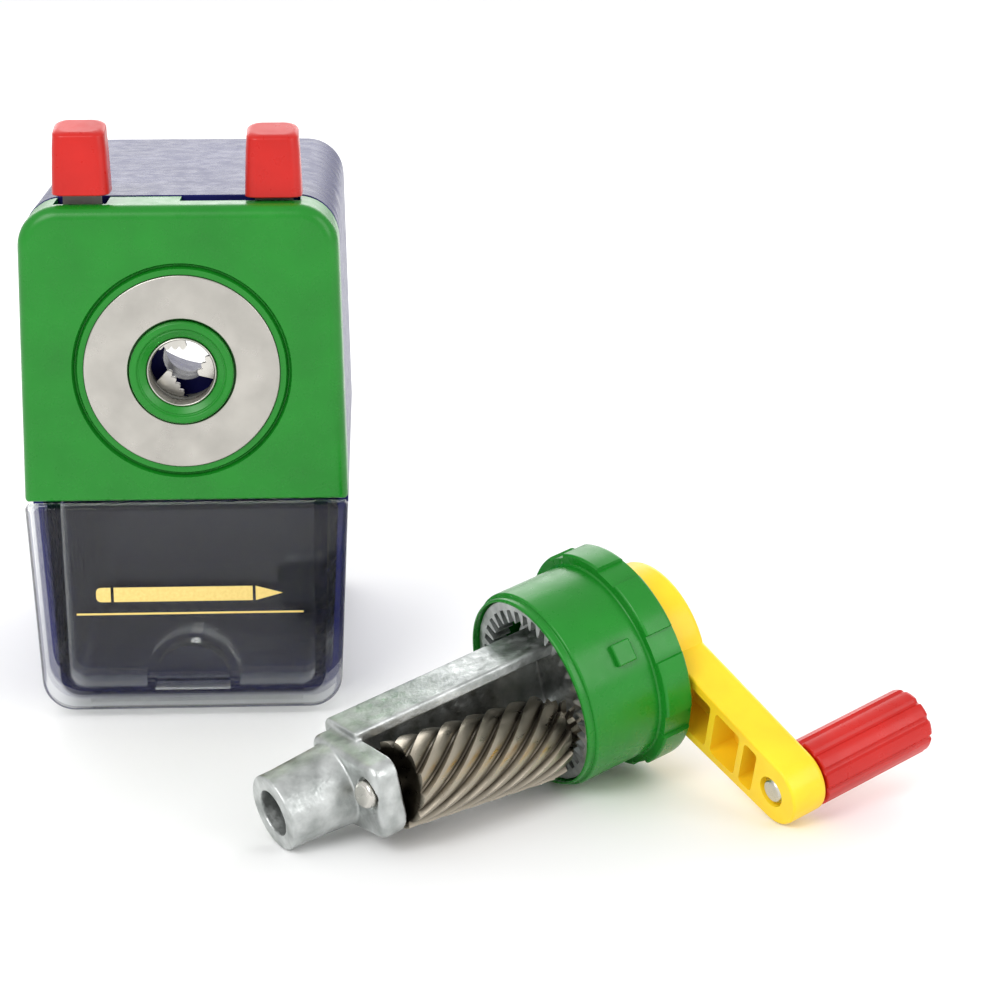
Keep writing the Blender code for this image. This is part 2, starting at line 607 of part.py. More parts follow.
def unit_pose():
    """Matrix of the unit lying on its nose rim and its hub, and its crank's droop."""
    touch = HUB_FRONT + HUB_STEP
    tilt = math.atan((HUB_RADIUS - NOSE_RADIUS) / touch)
    drop = NOSE_RADIUS - CRANK_TIP_RADIUS + (HUB_BACK + 0.0012) * math.tan(tilt)
    droop = math.asin(drop / CRANK_RADIUS)
    heading = math.radians(UNIT_HEADING)
    plan = Vector((math.cos(heading), math.sin(heading), 0))
    along = plan * math.cos(tilt) + Vector((0, 0, math.sin(tilt)))
    up = Vector((0, 0, math.cos(tilt))) - plan * math.sin(tilt)
    side = along.cross(up)
    matrix = Matrix((up, side, along)).transposed().to_4x4()
    matrix.translation = Vector((*UNIT_REST, 0)) + up * NOSE_RADIUS
    return matrix, droop


def cutter_matrix():
    """Frame of the inclined cutter inside the unit: its own axis is local Z."""
    start, end = Vector(CUTTER_SMALL_END), Vector(CUTTER_LARGE_END)
    matrix = (end - start).to_track_quat("Z", "X").to_matrix().to_4x4()
    matrix.translation = start
    return matrix


def gear_outline(teeth, root, tip, tip_share, root_share, phase=0.0):
    """Pointed gear teeth between a root and a tip radius, widths as shares of the pitch."""
    points = []
    pitch = 360 / teeth
    for tooth in range(teeth):
        middle = phase + tooth * pitch
        for radius, offset in ((root, -root_share / 2), (tip, -tip_share / 2), (tip, tip_share / 2),
                               (root, root_share / 2)):
            points.append(polar(radius, middle + offset * pitch))
    return points


def build_hub(unit):
    """Green hub with its bayonet lugs, grip flange and internal ring gear."""
    hub = turned("hub_shell",
                 [(HUB_RADIUS - 0.0007, HUB_FRONT), (HUB_RADIUS - 0.0007, HUB_FRONT + HUB_STEP),
                  (HUB_RADIUS, HUB_FRONT + HUB_STEP), (HUB_RADIUS, FLANGE_FRONT), (FLANGE_RADIUS, FLANGE_FRONT),
                  (FLANGE_RADIUS, HUB_BACK - 0.0006), (FLANGE_RADIUS - 0.0006, HUB_BACK),
                  (SPINDLE_RADIUS + 0.0018, HUB_BACK), (SPINDLE_RADIUS + 0.0018, HUB_BACK - 0.0060),
                  (0.0110, HUB_BACK - 0.0060), (0.0110, HUB_BACK - 0.0030), (HUB_BORE, HUB_BACK - 0.0030),
                  (HUB_BORE, HUB_FRONT)], unit, GREEN, steps=36)
    for number in range(8):
        dip = block("grip_dip", (FLANGE_RADIUS - 0.0008, -0.0026, FLANGE_FRONT - 0.0001),
                    (FLANGE_RADIUS + 0.002, 0.0026, HUB_BACK + 0.001), unit)
        dip.rotation_euler.z = math.radians(22 + 45 * number)
        combine(hub, dip)
    for turn in (62, 242):
        lug = block("bayonet_lug", (HUB_RADIUS - 0.0008, -0.0021, 0.0645), (HUB_RADIUS + 0.0011, 0.0021, 0.0685), unit)
        lug.rotation_euler.z = math.radians(turn)
        combine(hub, lug, "UNION")
    ring = cylinder("ring_gear", HUB_BORE - GAP, RING_FRONT, RING_FRONT + RING_LENGTH, unit, ZINC, steps=36)
    inner = gear_outline(RING_TEETH, RING_TIP, RING_ROOT, 0.46, 0.82, mesh_angle())
    teeth = extruded("ring_teeth", inner, RING_FRONT - 0.001, RING_FRONT + RING_LENGTH + 0.001, unit)
    combine(ring, teeth)
    turned("hub_bearing", [(SPINDLE_RADIUS + 0.0015, HUB_BACK - 0.0066), (SPINDLE_RADIUS + 0.0015, HUB_BACK),
                           (SPINDLE_RADIUS + 0.0003, HUB_BACK), (SPINDLE_RADIUS + 0.0003, HUB_BACK - 0.0072),
                           (0.0085, HUB_BACK - 0.0072), (0.0085, HUB_BACK - 0.0066)], unit, GREY, steps=32)


def pinion_height():
    """Height of the pinion's middle along the unit axis."""
    return RING_FRONT + RING_LENGTH / 2


def cutter_point(height):
    """Cutter axis at a height along the unit axis."""
    start, end = Vector(CUTTER_SMALL_END), Vector(CUTTER_LARGE_END)
    return start + (end - start) * (height - start.z) / (end.z - start.z)


def mesh_angle():
    """Direction in degrees from the unit axis to the pinion."""
    point = cutter_point(pinion_height())
    return math.degrees(math.atan2(point.y, point.x))


def build_carrier(unit, cutter_frame):
    """Cast zinc carrier: nose tube, yoke, open trough, rear plate and spindle."""
    carrier = turned("cutter_carrier", [(0, 0), (NOSE_RADIUS, 0), (NOSE_RADIUS, 0.0030), (0.0077, NOSE_LENGTH),
                                        (0.0077, YOKE_BACK), (0, YOKE_BACK)], unit, ZINC, steps=20)
    yoke = filleted("yoke", lambda inset: rounded([
        (0.0082 - inset, -0.0068 + inset, 0.0030), (0.0082 - inset, 0.0158 - inset, 0.0026),
        (-0.0062 + inset, 0.0158 - inset, 0.0034), (-0.0086 + inset, -0.0060 + inset, 0.0040)]),
        YOKE_BACK, NOSE_LENGTH, 0.0012, unit)
    combine(carrier, yoke, "UNION")
    trough = extruded("trough", rounded([
        (0.0098, -0.0078, 0.0030), (0.0098, 0.0040, 0.0006), (-0.0090, 0.0040, 0.0006),
        (-0.0090, -0.0078, 0.0030)]), YOKE_BACK - 0.001, 0.0640, unit)
    combine(carrier, trough, "UNION")
    plate = cylinder("rear_plate", 0.0128, 0.0618, 0.0655, unit, steps=20)
    combine(carrier, plate, "UNION")
    spindle = cylinder("spindle", SPINDLE_RADIUS, 0.0650, HUB_BACK + 0.0070, unit, steps=16)
    combine(carrier, spindle, "UNION")
    well = extruded("well", rounded([
        (0.0076, -0.0056, 0.0026), (0.0076, 0.0150, 0.0010), (-0.0072, 0.0150, 0.0010),
        (-0.0072, -0.0056, 0.0026)]), YOKE_BACK, 0.0618, unit)
    combine(carrier, well)
    bore = cylinder("pencil_bore", NOSE_BORE, -0.001, YOKE_BACK + 0.001, unit, steps=16)
    combine(carrier, bore)
    sweep = cylinder("cutter_sweep", CUTTER_RADIUS + 0.0005, 0.0022, CUTTER_BACK + 0.0010, cutter_frame, steps=18)
    combine(carrier, sweep)
    gear_sweep = cylinder("pinion_sweep", PINION_TIP + 0.0005, CUTTER_BACK + 0.0004, 0.0467, cutter_frame, steps=18)
    combine(carrier, gear_sweep)
    bores = turned("axle_bores", [(0, -0.0120), (0.0030, -0.0120), (0.0030, -0.0021), (AXLE_RADIUS + GAP, -0.0021),
                                  (AXLE_RADIUS + GAP, 0.0510), (0, 0.0510)], cutter_frame, steps=14)
    combine(carrier, bores, solver="MANIFOLD")
    return carrier


def build_cutter(cutter_frame):
    """Helical milling cutter with its pinion and axle, about the inclined axis."""
    pitch = 360 / CUTTER_FLUTES
    section = []
    for flute in range(CUTTER_FLUTES):
        section += [polar(CUTTER_RADIUS, flute * pitch), polar(CUTTER_RADIUS - 0.0004, (flute + 0.30) * pitch),
                    polar(CUTTER_RADIUS - 0.0012, (flute + 0.70) * pitch)]
    length = CUTTER_BACK - CUTTER_FRONT
    twist = -length * math.tan(math.radians(CUTTER_HELIX)) / CUTTER_RADIUS
    cutter = extruded("helical_cutter", section, CUTTER_FRONT, CUTTER_BACK, cutter_frame, STEEL, twist, steps=15)
    hole = cylinder("cutter_bore", AXLE_RADIUS + GAP, 0.0, 0.060, cutter_frame, steps=16)
    combine(cutter, hole)

    # pinion teeth lie parallel to the unit's axis where they mesh with the ring gear
    middle = (cutter_point(pinion_height()) - Vector(CUTTER_SMALL_END)).length
    from_unit = cutter_frame.matrix_basis.to_3x3().inverted()
    outward = (from_unit @ Vector((*cutter_point(pinion_height()).xy, 0))).xy.normalized()
    unit_axis = from_unit @ Vector((0, 0, 1))
    lean = unit_axis.xy.dot(Vector((-outward.y, outward.x))) / unit_axis.z
    half_twist = lean * PINION_WIDTH / (PINION_TIP + PINION_ROOT)
    phase = math.degrees(math.atan2(outward.y, outward.x) - half_twist)
    teeth = gear_outline(PINION_TEETH, PINION_ROOT, PINION_TIP, 0.18, 0.52, phase)
    pinion = extruded("cutter_pinion", teeth, middle - PINION_WIDTH / 2, middle + PINION_WIDTH / 2,
                      cutter_frame, STEEL, 2 * half_twist)
    combine(pinion, hole)
    turned("cutter_axle", [(0, -0.0044), (0.0020, -0.0044), (0.0026, -0.0038), (0.0026, -0.0024),
                           (AXLE_RADIUS, -0.0024), (AXLE_RADIUS, 0.0498), (0, 0.0498)],
           cutter_frame, BRIGHT, steps=20)


def crank_outline(inset):
    """Round hub and tapering arm of the crank, the arm along local X."""
    hub, tip = CRANK_HUB_RADIUS - inset, CRANK_TIP_RADIUS - inset
    waist = CRANK_TIP_RADIUS + 0.0013 - inset
    start = math.degrees(math.asin(waist / hub))
    return [*arc((0, 0), hub, start, 360 - start, 20), *arc((CRANK_RADIUS, 0), tip, -90, 90, 8)]


def build_crank(unit, carrier, droop):
    """Yellow crank with ribbed arm, its screw, and the red knob on a steel pin."""
    front, back = HUB_BACK + 0.0012, HUB_BACK + 0.0012 + CRANK_THICKNESS
    arm_frame = make_child_frame("crank_frame", unit, Matrix.Rotation(math.pi / 2 + droop, 4, "Z"))
    knob_frame = make_child_frame("knob_frame", arm_frame, Matrix.Translation((CRANK_RADIUS, 0, back)))
    crank = filleted("crank_arm", crank_outline, front, back, 0.0010, arm_frame, YELLOW)
    spindle_end = HUB_BACK + 0.0070
    for name, radius, low, high, at in (
            ("spindle_socket", SPINDLE_RADIUS + GAP, front - 0.001, spindle_end + GAP, (0, 0)),
            ("screw_clearance", 0.0018, front - 0.001, back + 0.001, (0, 0)),
            ("screw_seat", 0.0036, back - 0.0010, back + 0.001, (0, 0)),
            ("pin_clearance", 0.0018, front - 0.001, back + 0.001, (CRANK_RADIUS, 0)),
            ("pin_seat", 0.0030, front - 0.001, front + 0.0012, (CRANK_RADIUS, 0))):
        combine(crank, cylinder(name, radius, low, high, arm_frame, at=at, steps=16))
    for start, end in ((0.0135, 0.0245), (0.0260, 0.0330), (0.0344, 0.0380)):
        wall = 0.0018
        half_start, half_end = (CRANK_TIP_RADIUS + 0.0013 * (1 - x / CRANK_RADIUS) - wall for x in (start, end))
        pocket = extruded("arm_pocket", rounded([(start, -half_start, 0.001), (end, -half_end, 0.001),
                                                 (end, half_end, 0.001), (start, half_start, 0.001)], steps=3),
                          front - 0.001, back - 0.0022, arm_frame)
        combine(crank, pocket)
    tapped = cylinder("spindle_thread", 0.0018, HUB_BACK - 0.004, HUB_BACK + 0.010, unit, steps=16)
    combine(carrier, tapped)
    turned("crank_screw", [(0, HUB_BACK - 0.0030), (0.0015, HUB_BACK - 0.0030), (0.0015, back - 0.0007),
                           (0.0032, back - 0.0007), (0.0030, back + 0.0008), (0.0018, back + 0.0013),
                           (0, back + 0.0014)], arm_frame, BRIGHT, steps=20)
    turned("knob_pin", [(0, front - back + 0.0002), (0.0022, front - back + 0.0002),
                        (0.0026, front - back + 0.0006), (0.0026, front - back + 0.0009),
                        (0.0015, front - back + 0.0009), (0.0015, KNOB_LENGTH - 0.0040),
                        (0, KNOB_LENGTH - 0.0040)], knob_frame, BRIGHT, steps=20)

    def knob_outline(inset):
        points = []
        for flute in range(10):
            for radius, share in ((KNOB_RADIUS, 0.0), (KNOB_RADIUS, 0.62), (KNOB_RADIUS - 0.0005, 0.72),
                                  (KNOB_RADIUS - 0.0005, 0.90)):
                points.append(polar(radius - inset, (flute + share) * 36))
        return points

    knob = filleted("crank_knob", knob_outline, 0.0004, KNOB_LENGTH, 0.0010, knob_frame, RED)
    combine(knob, cylinder("knob_bore", 0.0018, -0.001, KNOB_LENGTH - 0.0030, knob_frame, steps=20))


def make_child_frame(name, parent, matrix):
    """An empty placed relative to another one."""
    frame = make_frame(name, parent.matrix_world @ matrix)
    frame.parent = parent
    frame.matrix_basis = matrix
    return frame


def main():
    """Build every piece of the sharpener."""
    clear_scene()
    front = make_frame("front_frame", Matrix.Rotation(math.pi / 2, 4, "X"))
    chuck = make_child_frame("chuck_frame", front, Matrix.Translation((0, AXIS_HEIGHT, FRONT)))
    build_housing(front)
    build_bulkhead(front)
    build_drawer(front)
    build_face(front, chuck)
    build_chuck(chuck)

    pose, droop = unit_pose()
    unit = make_frame("unit_frame", pose)
    cutter_frame = make_child_frame("cutter_frame", unit, cutter_matrix())
    build_hub(unit)
    carrier = build_carrier(unit, cutter_frame)
    build_cutter(cutter_frame)
    build_crank(unit, carrier, droop)


main()
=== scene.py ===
import json
import math

import bmesh
import bpy
from mathutils import Matrix, Vector


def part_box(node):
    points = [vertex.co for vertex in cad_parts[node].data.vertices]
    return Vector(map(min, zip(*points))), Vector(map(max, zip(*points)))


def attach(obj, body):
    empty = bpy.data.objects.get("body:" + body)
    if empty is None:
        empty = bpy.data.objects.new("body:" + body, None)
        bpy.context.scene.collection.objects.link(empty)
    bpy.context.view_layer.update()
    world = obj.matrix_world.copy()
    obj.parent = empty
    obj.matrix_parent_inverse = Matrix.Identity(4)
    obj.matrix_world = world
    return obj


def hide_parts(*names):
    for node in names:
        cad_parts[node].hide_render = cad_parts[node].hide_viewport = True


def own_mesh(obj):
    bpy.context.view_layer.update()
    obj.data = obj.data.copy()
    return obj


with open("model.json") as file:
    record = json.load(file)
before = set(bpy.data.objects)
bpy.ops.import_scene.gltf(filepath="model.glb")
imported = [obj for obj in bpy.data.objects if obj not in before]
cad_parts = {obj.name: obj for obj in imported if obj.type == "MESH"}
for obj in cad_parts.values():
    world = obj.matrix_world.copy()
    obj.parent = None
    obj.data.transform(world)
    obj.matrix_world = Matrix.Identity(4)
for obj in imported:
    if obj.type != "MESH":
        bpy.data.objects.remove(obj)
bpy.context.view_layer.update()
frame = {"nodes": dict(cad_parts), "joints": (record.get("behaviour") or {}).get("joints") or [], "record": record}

# The looks of the desktop pencil sharpener. Metres, in the imported model's frame: +Z up, front towards -Y.
# Every shape below is modelled in the frame of its assembly, read from the joints and boxes of the model.

# ---- places and sizes, some read from the model, the rest given ---------

JOINTS = {joint["name"]: joint for joint in frame["joints"]}
GAP = 0.0003

housing_low, housing_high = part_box("housing_shell")
face_low, face_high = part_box("face_plate")
FRONT = -face_low.y
FACE_BACK = -face_high.y                 # rear edge of the face plate, as a height above the origin plane
BODY_TOP = housing_high.z
BODY_BOTTOM = housing_low.z
SEAM = 0.045                             # face plate above, drawer below
HALF_WIDTH_TOP = 0.0306
HALF_WIDTH_SEAM = housing_high.x
HALF_WIDTH_BOTTOM = 0.0297
TOP_CORNER = 0.0080
BOTTOM_CORNER = 0.0070
WALL = 0.0020

CHUCK_CENTRE = Vector(JOINTS["clamp_lever"]["pos_m"])
AXIS_HEIGHT = CHUCK_CENTRE.z
DIAL_RADIUS = 0.0190
DIAL_HOLE = 0.0104
GROOVE_RADIUS = 0.0213
GROOVE_WIDTH = 0.0011
NOSE_RING_RADIUS = 0.0101
FERRULE_RADIUS = 0.0068
PENCIL_ENTRY = 0.0062
CHUCK_PLATE_DEPTH = 0.0048
JAW_DEPTH = 0.0064
JAW_THICKNESS = 0.0014
CLAMP_DEPTH = 0.0082
PLATE = 0.0012
JAW_PIVOT = Vector((0.0094, 0.0086))
JAW_EDGE = 0.0029
PEG_REST = Vector((0.0094, 0.0010))
PEG_OPEN = Vector((0.0068, 0.0046))
JAW_ANGLES = (90, 210, 330)
LEVER_X = 0.0183
LEVER_HALF = 0.0037
CAP_FOOT = 0.0342
CAP_DROP = 0.0012
TAB_IN_CAP = 0.0090
ROD_X = 0.0250
ROD_HEIGHT = 0.0570
ROD_RADIUS = 0.0020

NOSE_RADIUS = 0.0071
NOSE_BORE = 0.0043
NOSE_LENGTH = 0.0130
YOKE_BACK = 0.0180
YOKE_TOP = 0.0158
TROUGH_BACK = 0.0640
REAR_PLATE_FRONT = 0.0618
REAR_PLATE_BACK = 0.0655
HUB_FRONT = 0.0555
HUB_RADIUS = 0.0193
HUB_STEP = 0.0015
LUG_FRONT = 0.0645
LUG_BACK = 0.0685
FLANGE_FRONT = 0.0715
FLANGE_RADIUS = 0.0215
HUB_BACK = 0.0775
HUB_BORE = 0.0181
SPINDLE_RADIUS = 0.0050
PINION_TIP = 0.0060
CUTTER_RADIUS = 0.0080
CUTTER_FLUTES = 12
CUTTER_FRONT = 0.0032
CUTTER_BACK = 0.0398
CUTTER_HELIX = 38
AXLE_RADIUS = 0.0016
AXLE_BACK = 0.0498                       # along the cutter's own axis
AXLE_BORE_BACK = 0.0510
CRANK_THICKNESS = 0.0080
CRANK_HUB_RADIUS = 0.0145
CRANK_TIP_RADIUS = 0.0065
KNOB_RADIUS = 0.0063
KNOB_LENGTH = 0.0260


def axis_frame(position, axis):
    """Frame with local Z along an axis and local X as near to straight up as it can be."""
    along = Vector(axis).normalized()
    up = (Vector((0, 0, 1)) - along * along.z).normalized()
    matrix = Matrix((up, along.cross(up), along)).transposed().to_4x4()
    matrix.translation = Vector(position)
    return matrix


# In the front frame local X and Y are world X and Z, and local Z points forward.
FRONT_FRAME = Matrix.Rotation(math.pi / 2, 4, "X")
CHUCK_FRAME = Matrix.Translation(CHUCK_CENTRE) @ FRONT_FRAME
UNIT_FRAME = axis_frame(JOINTS["crank_turn"]["pos_m"], JOINTS["crank_turn"]["axis"])
CUTTER_FRAME = axis_frame(JOINTS["cutter_spin"]["pos_m"], JOINTS["cutter_spin"]["axis"])
knob_place = UNIT_FRAME.inverted() @ Vector(JOINTS["knob_spin"]["pos_m"])
CRANK_RADIUS = knob_place.xy.length
CRANK_ANGLE = math.atan2(knob_place.y, knob_place.x)
CRANK_FRAME = UNIT_FRAME @ Matrix.Rotation(CRANK_ANGLE, 4, "Z")
KNOB_FRAME = CRANK_FRAME @ Matrix.Translation((CRANK_RADIUS, 0, knob_place.z))
CRANK_BACK = knob_place.z
CRANK_FRONT = CRANK_BACK - CRANK_THICKNESS


# ---- materials ----------------------------------------------------------

class Recipe:
    """A Principled material built up from a few procedural nodes in object space."""

    def __init__(self, name, roughness, metallic=0.0, ior=1.5):
        self.material = bpy.data.materials.new(name)
        self.material.use_nodes = True
        self.nodes = self.material.node_tree.nodes
        self.links = self.material.node_tree.links
        self.shader = self.nodes["Principled BSDF"]
        self.place = self.nodes.new("ShaderNodeTexCoord").outputs["Object"]
        self.shader.inputs["Roughness"].default_value = roughness
        self.shader.inputs["Metallic"].default_value = metallic
        self.shader.inputs["IOR"].default_value = ior

    def noise(self, scale, detail=3.0, stretch=(1, 1, 1)):
        """Noise with features about 1/scale metres across, stretched along axes if asked."""
        mapping = self.nodes.new("ShaderNodeMapping")
        mapping.inputs["Scale"].default_value = stretch
        texture = self.nodes.new("ShaderNodeTexNoise")
        texture.inputs["Scale"].default_value = scale
        texture.inputs["Detail"].default_value = detail
        self.links.new(self.place, mapping.inputs["Vector"])
        self.links.new(mapping.outputs["Vector"], texture.inputs["Vector"])
        return texture.outputs["Fac"]

    def spread(self, value, low, high, start=0.3, end=0.7):
        """Map a noise's middle range onto low to high."""
        ramp = self.nodes.new("ShaderNodeMapRange")
        for socket, number in (("From Min", start), ("From Max", end), ("To Min", low), ("To Max", high)):
            ramp.inputs[socket].default_value = number
        self.links.new(value, ramp.inputs["Value"])
        return ramp.outputs["Result"]

    def colour(self, value, first, second):
        """Base colour that goes from first to second with a value."""
        mix = self.nodes.new("ShaderNodeMix")
        mix.data_type = "RGBA"
        mix.inputs["A"].default_value = (*first, 1)
        mix.inputs["B"].default_value = (*second, 1)
        self.links.new(value, mix.inputs["Factor"])
        self.links.new(mix.outputs["Result"], self.shader.inputs["Base Color"])

    def rough(self, value):
        """Drive the roughness."""
        self.links.new(value, self.shader.inputs["Roughness"])

    def bump(self, value, strength, depth):
        """Add a bump on top of those already there."""
        bump = self.nodes.new("ShaderNodeBump")
        bump.inputs["Strength"].default_value = strength
        bump.inputs["Distance"].default_value = depth
        self.links.new(value, bump.inputs["Height"])
        before = self.shader.inputs["Normal"].links
        if before:
            self.links.new(before[0].from_socket, bump.inputs["Normal"])
        self.links.new(bump.outputs["Normal"], self.shader.inputs["Normal"])

    def distance(self):
        """Distance from the local Z axis."""
        split = self.nodes.new("ShaderNodeSeparateXYZ")
        join = self.nodes.new("ShaderNodeCombineXYZ")
        length = self.nodes.new("ShaderNodeVectorMath")
        length.operation = "LENGTH"
        self.links.new(self.place, split.inputs["Vector"])
        self.links.new(split.outputs["X"], join.inputs["X"])
        self.links.new(split.outputs["Y"], join.inputs["Y"])
        self.links.new(join.outputs["Vector"], length.inputs["Vector"])
        return length.outputs["Value"]


def shade(colour, factor):
    """A lighter or darker colour."""
    return tuple(min(1.0, channel * factor) for channel in colour)


def moulded(name, colour, roughness, glow=0.0, gloss=0.36, grain=0.05):
    """Injection-moulded plastic: even colour, faint clouding, orange peel and fine scuffs."""
    recipe = Recipe(name, roughness)
    recipe.colour(recipe.spread(recipe.noise(90, 4), 0, 1), shade(colour, 0.90), shade(colour, 1.08))
    recipe.rough(recipe.spread(recipe.noise(350, 5), roughness - 0.05, roughness + 0.07))
    recipe.bump(recipe.noise(420, 2), 0.02, 0.0003)
    recipe.bump(recipe.noise(2600, 3), grain, 0.00006)
    recipe.shader.inputs["Specular IOR Level"].default_value = gloss
    if glow:
        recipe.shader.inputs["Subsurface Weight"].default_value = glow
        recipe.shader.inputs["Subsurface Radius"].default_value = (1.0, 0.45, 0.08)
        recipe.shader.inputs["Subsurface Scale"].default_value = 0.0015
    return recipe.material


def satin_steel(name, colour, roughness, turned_marks=False):
    """Rolled or plated steel with soft clouding, and faint turning marks on round pieces."""
    recipe = Recipe(name, roughness, metallic=1.0)
    recipe.colour(recipe.spread(recipe.noise(120, 4), 0, 1), shade(colour, 0.86), shade(colour, 1.08))
    recipe.rough(recipe.spread(recipe.noise(160, 5), roughness - 0.06, roughness + 0.10))
    recipe.bump(recipe.noise(900, 4), 0.05, 0.0001)
    if turned_marks:
        rings = recipe.nodes.new("ShaderNodeTexNoise")
        rings.noise_dimensions = "1D"
        rings.inputs["Scale"].default_value = 9000
        recipe.links.new(recipe.distance(), rings.inputs["W"])
        recipe.bump(rings.outputs["Fac"], 0.10, 0.00004)
    return recipe.material


def cast_zinc(name):
    """Die-cast zinc: mottled grey skin with pits and flow marks."""
    recipe = Recipe(name, 0.42, metallic=1.0)
    recipe.colour(recipe.spread(recipe.noise(260, 6), 0, 1), (0.34, 0.36, 0.35), (0.66, 0.68, 0.67))
    recipe.rough(recipe.spread(recipe.noise(500, 5), 0.30, 0.58))
    recipe.bump(recipe.noise(300, 3), 0.30, 0.0004)
    recipe.bump(recipe.noise(1500, 4), 0.32, 0.00022)
    return recipe.material


def cutter_steel_with_painted_light(name):
    """Hardened cutter steel, scratched along the helix; its colour holds painted shade, near black down in the
    flutes, and painted highlight, bright on the lands.
    """
    recipe = Recipe(name, 0.34, metallic=1.0)
    # painted shade and highlight: colour by distance from the axis, dark at the flute bottoms, bright at the lands
    height = recipe.spread(recipe.distance(), 0, 1, CUTTER_RADIUS - 0.00125, CUTTER_RADIUS - 0.0001)
    recipe.colour(height, (0.045, 0.037, 0.026), (0.43, 0.385, 0.31))
    recipe.rough(recipe.spread(recipe.noise(700, 4, (1, 1, 0.25)), 0.24, 0.46))
    recipe.bump(recipe.noise(1800, 4, (1, 1, 0.2)), 0.16, 0.0001)
    return recipe.material


def clear_plastic(name):
    """Clear polystyrene with a trace of moulding flow and fingertip haze."""
    recipe = Recipe(name, 0.03, ior=1.5)
    recipe.shader.inputs["Base Color"].default_value = (0.93, 0.96, 0.96, 1)
    recipe.shader.inputs["Transmission Weight"].default_value = 1.0
    recipe.shader.inputs["Alpha"].default_value = 0.55
    recipe.rough(recipe.spread(recipe.noise(60, 5), 0.015, 0.06))
    recipe.bump(recipe.noise(45, 2), 0.05, 0.0004)
    return recipe.material


def rubber(name):
    """Dull black sheet with a fine grain."""
    recipe = Recipe(name, 0.85)
    recipe.colour(recipe.noise(1200, 3), (0.012, 0.012, 0.012), (0.035, 0.035, 0.035))
    recipe.bump(recipe.noise(2500, 3), 0.5, 0.0001)
    return recipe.material


def gold_ink(name):
    """Thin metallic print on the drawer."""
    recipe = Recipe(name, 0.38, metallic=0.6)
    recipe.colour(recipe.noise(1500, 3), (0.78, 0.56, 0.16), (1.0, 0.78, 0.30))
    recipe.bump(recipe.noise(3000, 2), 0.2, 0.00003)
    return recipe.material


NAVY = moulded("navy_plastic", (0.012, 0.013, 0.105), 0.26, gloss=0.08, grain=0.012)
GREEN = moulded("green_plastic", (0.008, 0.205, 0.014), 0.28)
RED = moulded("red_plastic", (0.520, 0.012, 0.008), 0.30)
YELLOW = moulded("yellow_plastic", (1.000, 0.640, 0.018), 0.34, glow=0.12)
GREY = moulded("grey_plastic", (0.190, 0.190, 0.170), 0.50)
BRIGHT = satin_steel("bright_steel", (0.66, 0.64, 0.59), 0.26)
TURNED = satin_steel("turned_steel", (0.50, 0.48, 0.44), 0.30, turned_marks=True)
ZINC = cast_zinc("cast_zinc")
STEEL = cutter_steel_with_painted_light("cutter_steel")
CLEAR = clear_plastic("clear_plastic")
RUBBER = rubber("rubber")
GOLD = gold_ink("gold_ink")
FINISH = {"navy_plastic": NAVY, "green_plastic": GREEN, "red_plastic": RED, "yellow_plastic": YELLOW,
          "grey_plastic": GREY, "bright_steel": BRIGHT, "cast_zinc": ZINC, "cutter_steel": STEEL,
          "clear_plastic": CLEAR, "rubber": RUBBER}


# ---- modelling helpers --------------------------------------------------

def polar(radius, degrees):
    """A point of the XY plane from its radius and angle."""
    angle = math.radians(degrees)
    return Vector((radius * math.cos(angle), radius * math.sin(angle)))


def arc(centre, radius, first, last, steps):
    """Points of an arc, from one angle in degrees to another."""
    angles = [first + (last - first) * step / steps for step in range(steps + 1)]
    return [Vector(centre) + polar(radius, angle) for angle in angles]


def rounded(corners, steps=10):
    """Outline through (x, y, fillet radius) corners, each fillet an arc."""
    points = []
    for index, (x, y, radius) in enumerate(corners):
        corner = Vector((x, y))
        if radius == 0:
            points.append(corner)
            continue
        before = (Vector(corners[index - 1][:2]) - corner).normalized()
        after = (Vector(corners[(index + 1) % len(corners)][:2]) - corner).normalized()
        half = before.angle(after) / 2
        centre = corner + (before + after).normalized() * radius / math.sin(half)
        start = corner + before * radius / math.tan(half) - centre
        turn = start.angle_signed(corner + after * radius / math.tan(half) - centre)
        for step in range(steps + 1):
            points.append(centre + Matrix.Rotation(-turn * step / steps, 2) @ start)
    return points


def new_object(name, mesh):
    """Link a mesh object into the scene."""
    piece = bpy.data.objects.new(name, mesh)
    bpy.context.scene.collection.objects.link(piece)
    return piece


def from_bmesh(name, bm):
    """An object from a bmesh with outward faces."""
    bmesh.ops.recalc_face_normals(bm, faces=bm.faces)
    mesh = bpy.data.meshes.new(name)
    bm.to_mesh(mesh)
    bm.free()
    return new_object(name, mesh)


def lofted(name, layers):
    """A closed body through (outline, z) layers whose outlines have equal counts."""
    bm = bmesh.new()
    rings = [[bm.verts.new((*point, height)) for point in outline] for outline, height in layers]
    for lower, upper in zip(rings, rings[1:]):
        for index, vert in enumerate(lower):
            after = (index + 1) % len(lower)
            bm.faces.new((vert, lower[after], upper[after], upper[index]))
    bm.faces.new(rings[0])
    bm.faces.new(rings[-1])
    return from_bmesh(name, bm)


def extruded(name, outline, low, high, twist=0.0, steps=1):
    """A prism of an XY outline from z = low to high, twisted by radians if asked."""
    layers = []
    for step in range(steps + 1):
        share = step / steps
        turn = Matrix.Rotation(twist * share, 2)
        layers.append(([turn @ Vector(point) for point in outline], low + (high - low) * share))
    return lofted(name, layers)


def filleted(name, outline, flat, crown, radius, steps=6, foot=0.0):
    """A prism from z = flat to z = crown with a round crown edge, and a round foot edge if asked.

    outline is a function of the inset that gives the section's points.
    """
    rise = math.copysign(1.0, crown - flat)
    layers = []
    if foot:
        for step in range(steps):
            angle = math.radians(90 * step / steps)
            layers.append((outline(foot * (1 - math.sin(angle))), flat + rise * foot * (1 - math.cos(angle))))
        layers.append((outline(0.0), flat + rise * foot))
    else:
        layers.append((outline(0.0), flat))
    for step in range(steps + 1):
        angle = math.radians(90 * step / steps)
        inset = radius * (1 - math.cos(angle))
        layers.append((outline(inset), crown - rise * radius * (1 - math.sin(angle))))
    return lofted(name, layers)


